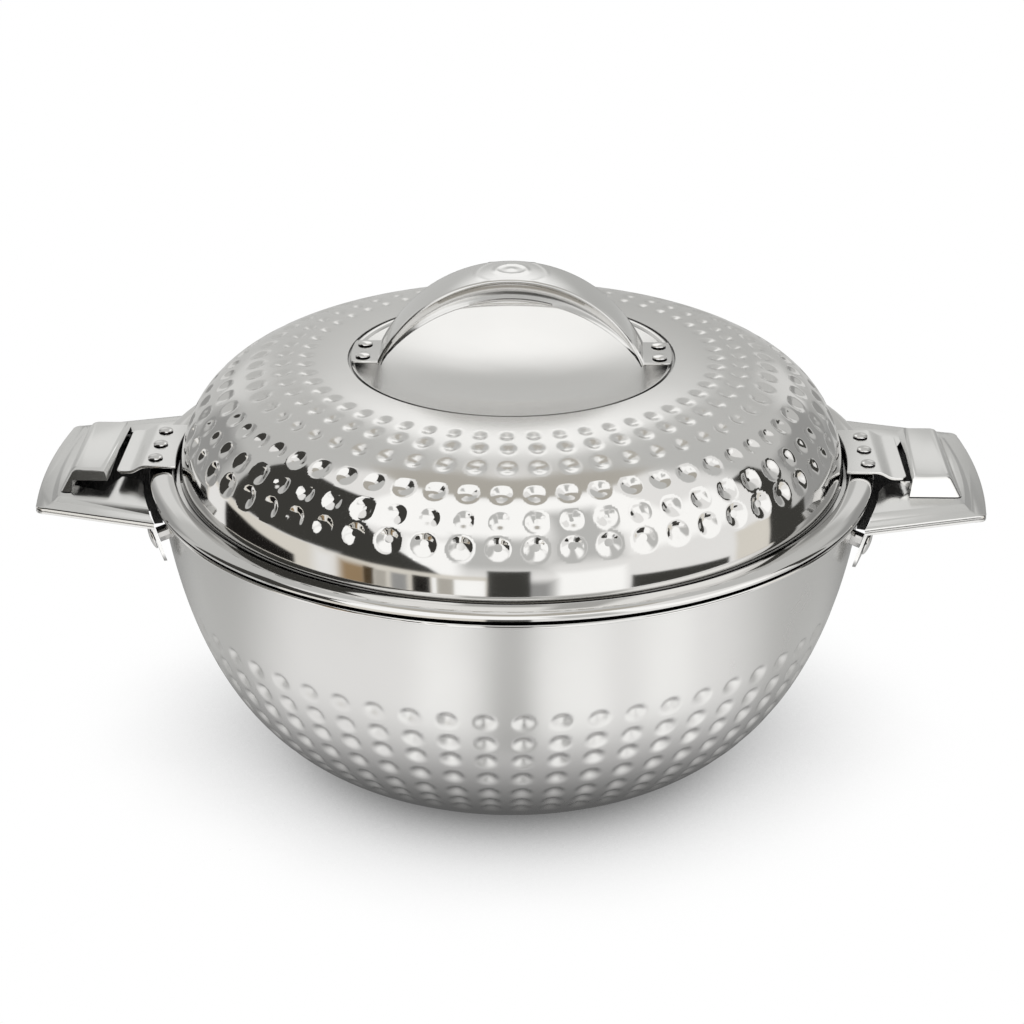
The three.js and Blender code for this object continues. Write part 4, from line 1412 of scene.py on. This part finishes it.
def painted_reflection_cloth(name, base, panels, second_place):
    """A glowing cloth of painted reflections. second_place builds the second coordinate from the object's axes."""
    material, tree = new_material(name)
    tree.nodes.clear()
    axes = object_axes(tree)
    turn = maths(tree, "DEGREES", maths(tree, "ARCTAN2", axes[0], maths(tree, "MULTIPLY", axes[1], -1)))
    second = second_place(tree, *axes)
    painted = (*base, 1)
    for *place, paint in panels:
        values = {"Turn": turn, "Rise": second, **dict(zip(PANEL_PLACE, place))}
        mask = add_node(tree, "ShaderNodeGroup", values, node_tree=tent_patch)["Mask"]
        painted = mixed_colour(tree, mask, painted, (*paint, 1))
    glow = add_node(tree, "ShaderNodeEmission", {"Strength": TENT_GLOW, "Color": painted})
    add_node(tree, "ShaderNodeOutputMaterial", {"Surface": glow[0]})
    return material


def degrees_of_rise(tree, x, y, z):
    """Degrees above the floor, for a point of the tent."""
    return maths(tree, "DEGREES", maths(tree, "ARCSINE", maths(tree, "DIVIDE", z, TENT_RADIUS)))


def distance_in_millimetres(tree, x, y, z):
    """Distance from the casserole's axis, for a point of the mat."""
    squares = maths(tree, "MULTIPLY_ADD", y, y, maths(tree, "MULTIPLY", x, x))
    return maths(tree, "DIVIDE", maths(tree, "SQRT", squares), MM)


# %% [markdown]
# The panels are painted one over another, broad and soft ones first. Each line gives the turn and
# half its width, the rise and half its height, the slant, the soft edge and the colour.

# %% The tent's panels
PALE_REFLECTION = (0.80, 0.795, 0.785)
BRIGHT = (1, 1, 0.99)
PEARL = (0.66, 0.66, 0.65)
SOFT_GREY = (0.50, 0.50, 0.49)
SHADE = (0.30, 0.30, 0.295)
WARM_GREY = (0.42, 0.40, 0.36)
DIM_GREY = (0.44, 0.44, 0.43)
BEIGE = (0.68, 0.65, 0.59)
BROWN = (0.30, 0.21, 0.12)
DARK_BROWN = (0.06, 0.04, 0.02)
DARK = (0.045, 0.044, 0.04)
BLACK = (0.012, 0.011, 0.01)
TENT_PANELS = [
    (-140, 58, 40, 44, 0, 14, SOFT_GREY),
    (140, 58, 40, 44, 0, 14, SOFT_GREY),
    (-112, 15, 28, 14, 0, 8, SHADE),
    (115, 20, 28, 15, 0, 6, SHADE),
    (-150, 26, 36, 14, 0, 12, SOFT_GREY),
    (152, 24, 36, 14, 0, 12, DIM_GREY),
    (-136, 8, 38, 6, 0, 4, PEARL),
    (136, 8, 38, 6, 0, 4, PEARL),
    (-174, 22, 64, 14, 0, 12, BRIGHT),
    (174, 22, 64, 14, 0, 12, BRIGHT),
    (0, 90, 78, 7, 0, 2, WARM_GREY),
    (0, 48, 57, 13, 0, 5, BRIGHT),
    (21, 9, 46, 15, 0, 8, SOFT_GREY),
    (-2, 12, 36, 9, 0, 8, SOFT_GREY),
    (-20, 8, 32, 10, 0, 5, BRIGHT),
    (52, 18, 42, 10, 0, 6, BRIGHT),
    (22, 9, 18, 7, 0, 3, BRIGHT),
    (-68, 20, 41, 17, 0, 1.5, DARK),
    (-33, 17, 23, 14, -0.85, 1.5, DARK),
    (-50, 52, 9, 14.5, 0, 1.2, BEIGE),
    (-95, 6, 10, 12, 0, 2, PALE_REFLECTION),
    (-75, 15, 7, 11, -0.15, 1.5, BLACK),
    (-50, 3.5, 12, 11, 0, 6, PALE_REFLECTION),
    (-41, 4, 13, 8.5, 0, 4, BROWN),
    (-36.5, 1.5, 13, 8.5, 0, 1, DARK_BROWN),
    (-33, 1.6, 12, 9, 0, 1, WARM_GREY),
    (-28, 2.2, 12, 9, 0, 1.5, SHADE),
    (-22, 2.4, 12, 9.5, 0, 0.6, BLACK),
    (-18.5, 0.6, 12, 9.5, 0, 0.4, BRIGHT),
    (-15.5, 2.2, 12, 9.5, 0, 1, WARM_GREY),
    (-9.5, 4, 12, 9.5, 0, 0.8, BRIGHT),
    (5, 7, 12, 9, 0, 5, SHADE),
    (0.5, 5.5, 13, 13.5, 0, 0.8, DARK),
    (72, 7, 16, 9, 0, 3, BEIGE),
    (47.5, 15, 12.5, 4.6, -0.16, 1, DARK),
    (90.5, 6, 10, 9, 0, 1.2, DARK),
    (84, 5.5, 30, 20, 0, 1.5, DARK),
    (-112, 12, 2, 6, 0, 2, BLACK),
]
bm = bmesh.new()
bmesh.ops.create_uvsphere(bm, u_segments=96, v_segments=48, radius=TENT_RADIUS)
bmesh.ops.delete(bm, geom=[v for v in bm.verts if v.co.z < -MM], context="VERTS")
tent = placed(bm, "tent")
tent.data.shade_smooth()
# Painted reflections: the tent glows for glossy rays only, and its panels show only in the steel.
tent.data.materials.append(painted_reflection_cloth("tent_painted_reflections", PALE_REFLECTION, TENT_PANELS, degrees_of_rise))
print(len(TENT_PANELS), "panels on the tent")

# %% [markdown]
# A mat under the bowl is the tent's floor, seen only in the steel. It is dark close to the base, a
# painted shade, and pale further out, with a few brighter strips, painted reflections which the
# satin shell spreads into soft upright bands.

# %% The mat's panels
MAT_PALE = (0.86, 0.855, 0.85)
BASE_SHADE = (0.10, 0.10, 0.10)
MAT_PANELS = [
    (-150, 60, 230, 140, 0, 40, SHADE),
    (150, 60, 230, 140, 0, 40, SHADE),
    (-88, 22, 230, 140, 0, 30, SOFT_GREY),
    (88, 22, 230, 140, 0, 30, SOFT_GREY),
    (-15, 6, 260, 110, 0, 8, BRIGHT),
    (16, 8, 260, 110, 0, 8, BRIGHT),
    (40, 7, 260, 110, 0, 8, BRIGHT),
    (1, 5, 260, 120, 0, 6, SOFT_GREY),
    (0, 181, 0, 128, 0, 90, BASE_SHADE),
]
# Painted shade and reflections: the mat's colours show only in the steel.
mat_reflections = painted_reflection_cloth("mat_painted_reflections", MAT_PALE, MAT_PANELS, distance_in_millimetres)
mat = flat_card("mat", TENT_RADIUS, MM / 2, mat_reflections)
for card in (tent, mat):
    card.visible_camera = False
    card.visible_diffuse = False
    card.visible_transmission = False
    card.visible_shadow = False
print(len(MAT_PANELS), "panels on the mat")

# %% [markdown]
# ## Last settings
# The colours are shown as they are.

bpy.context.scene.view_settings.view_transform = "Standard"
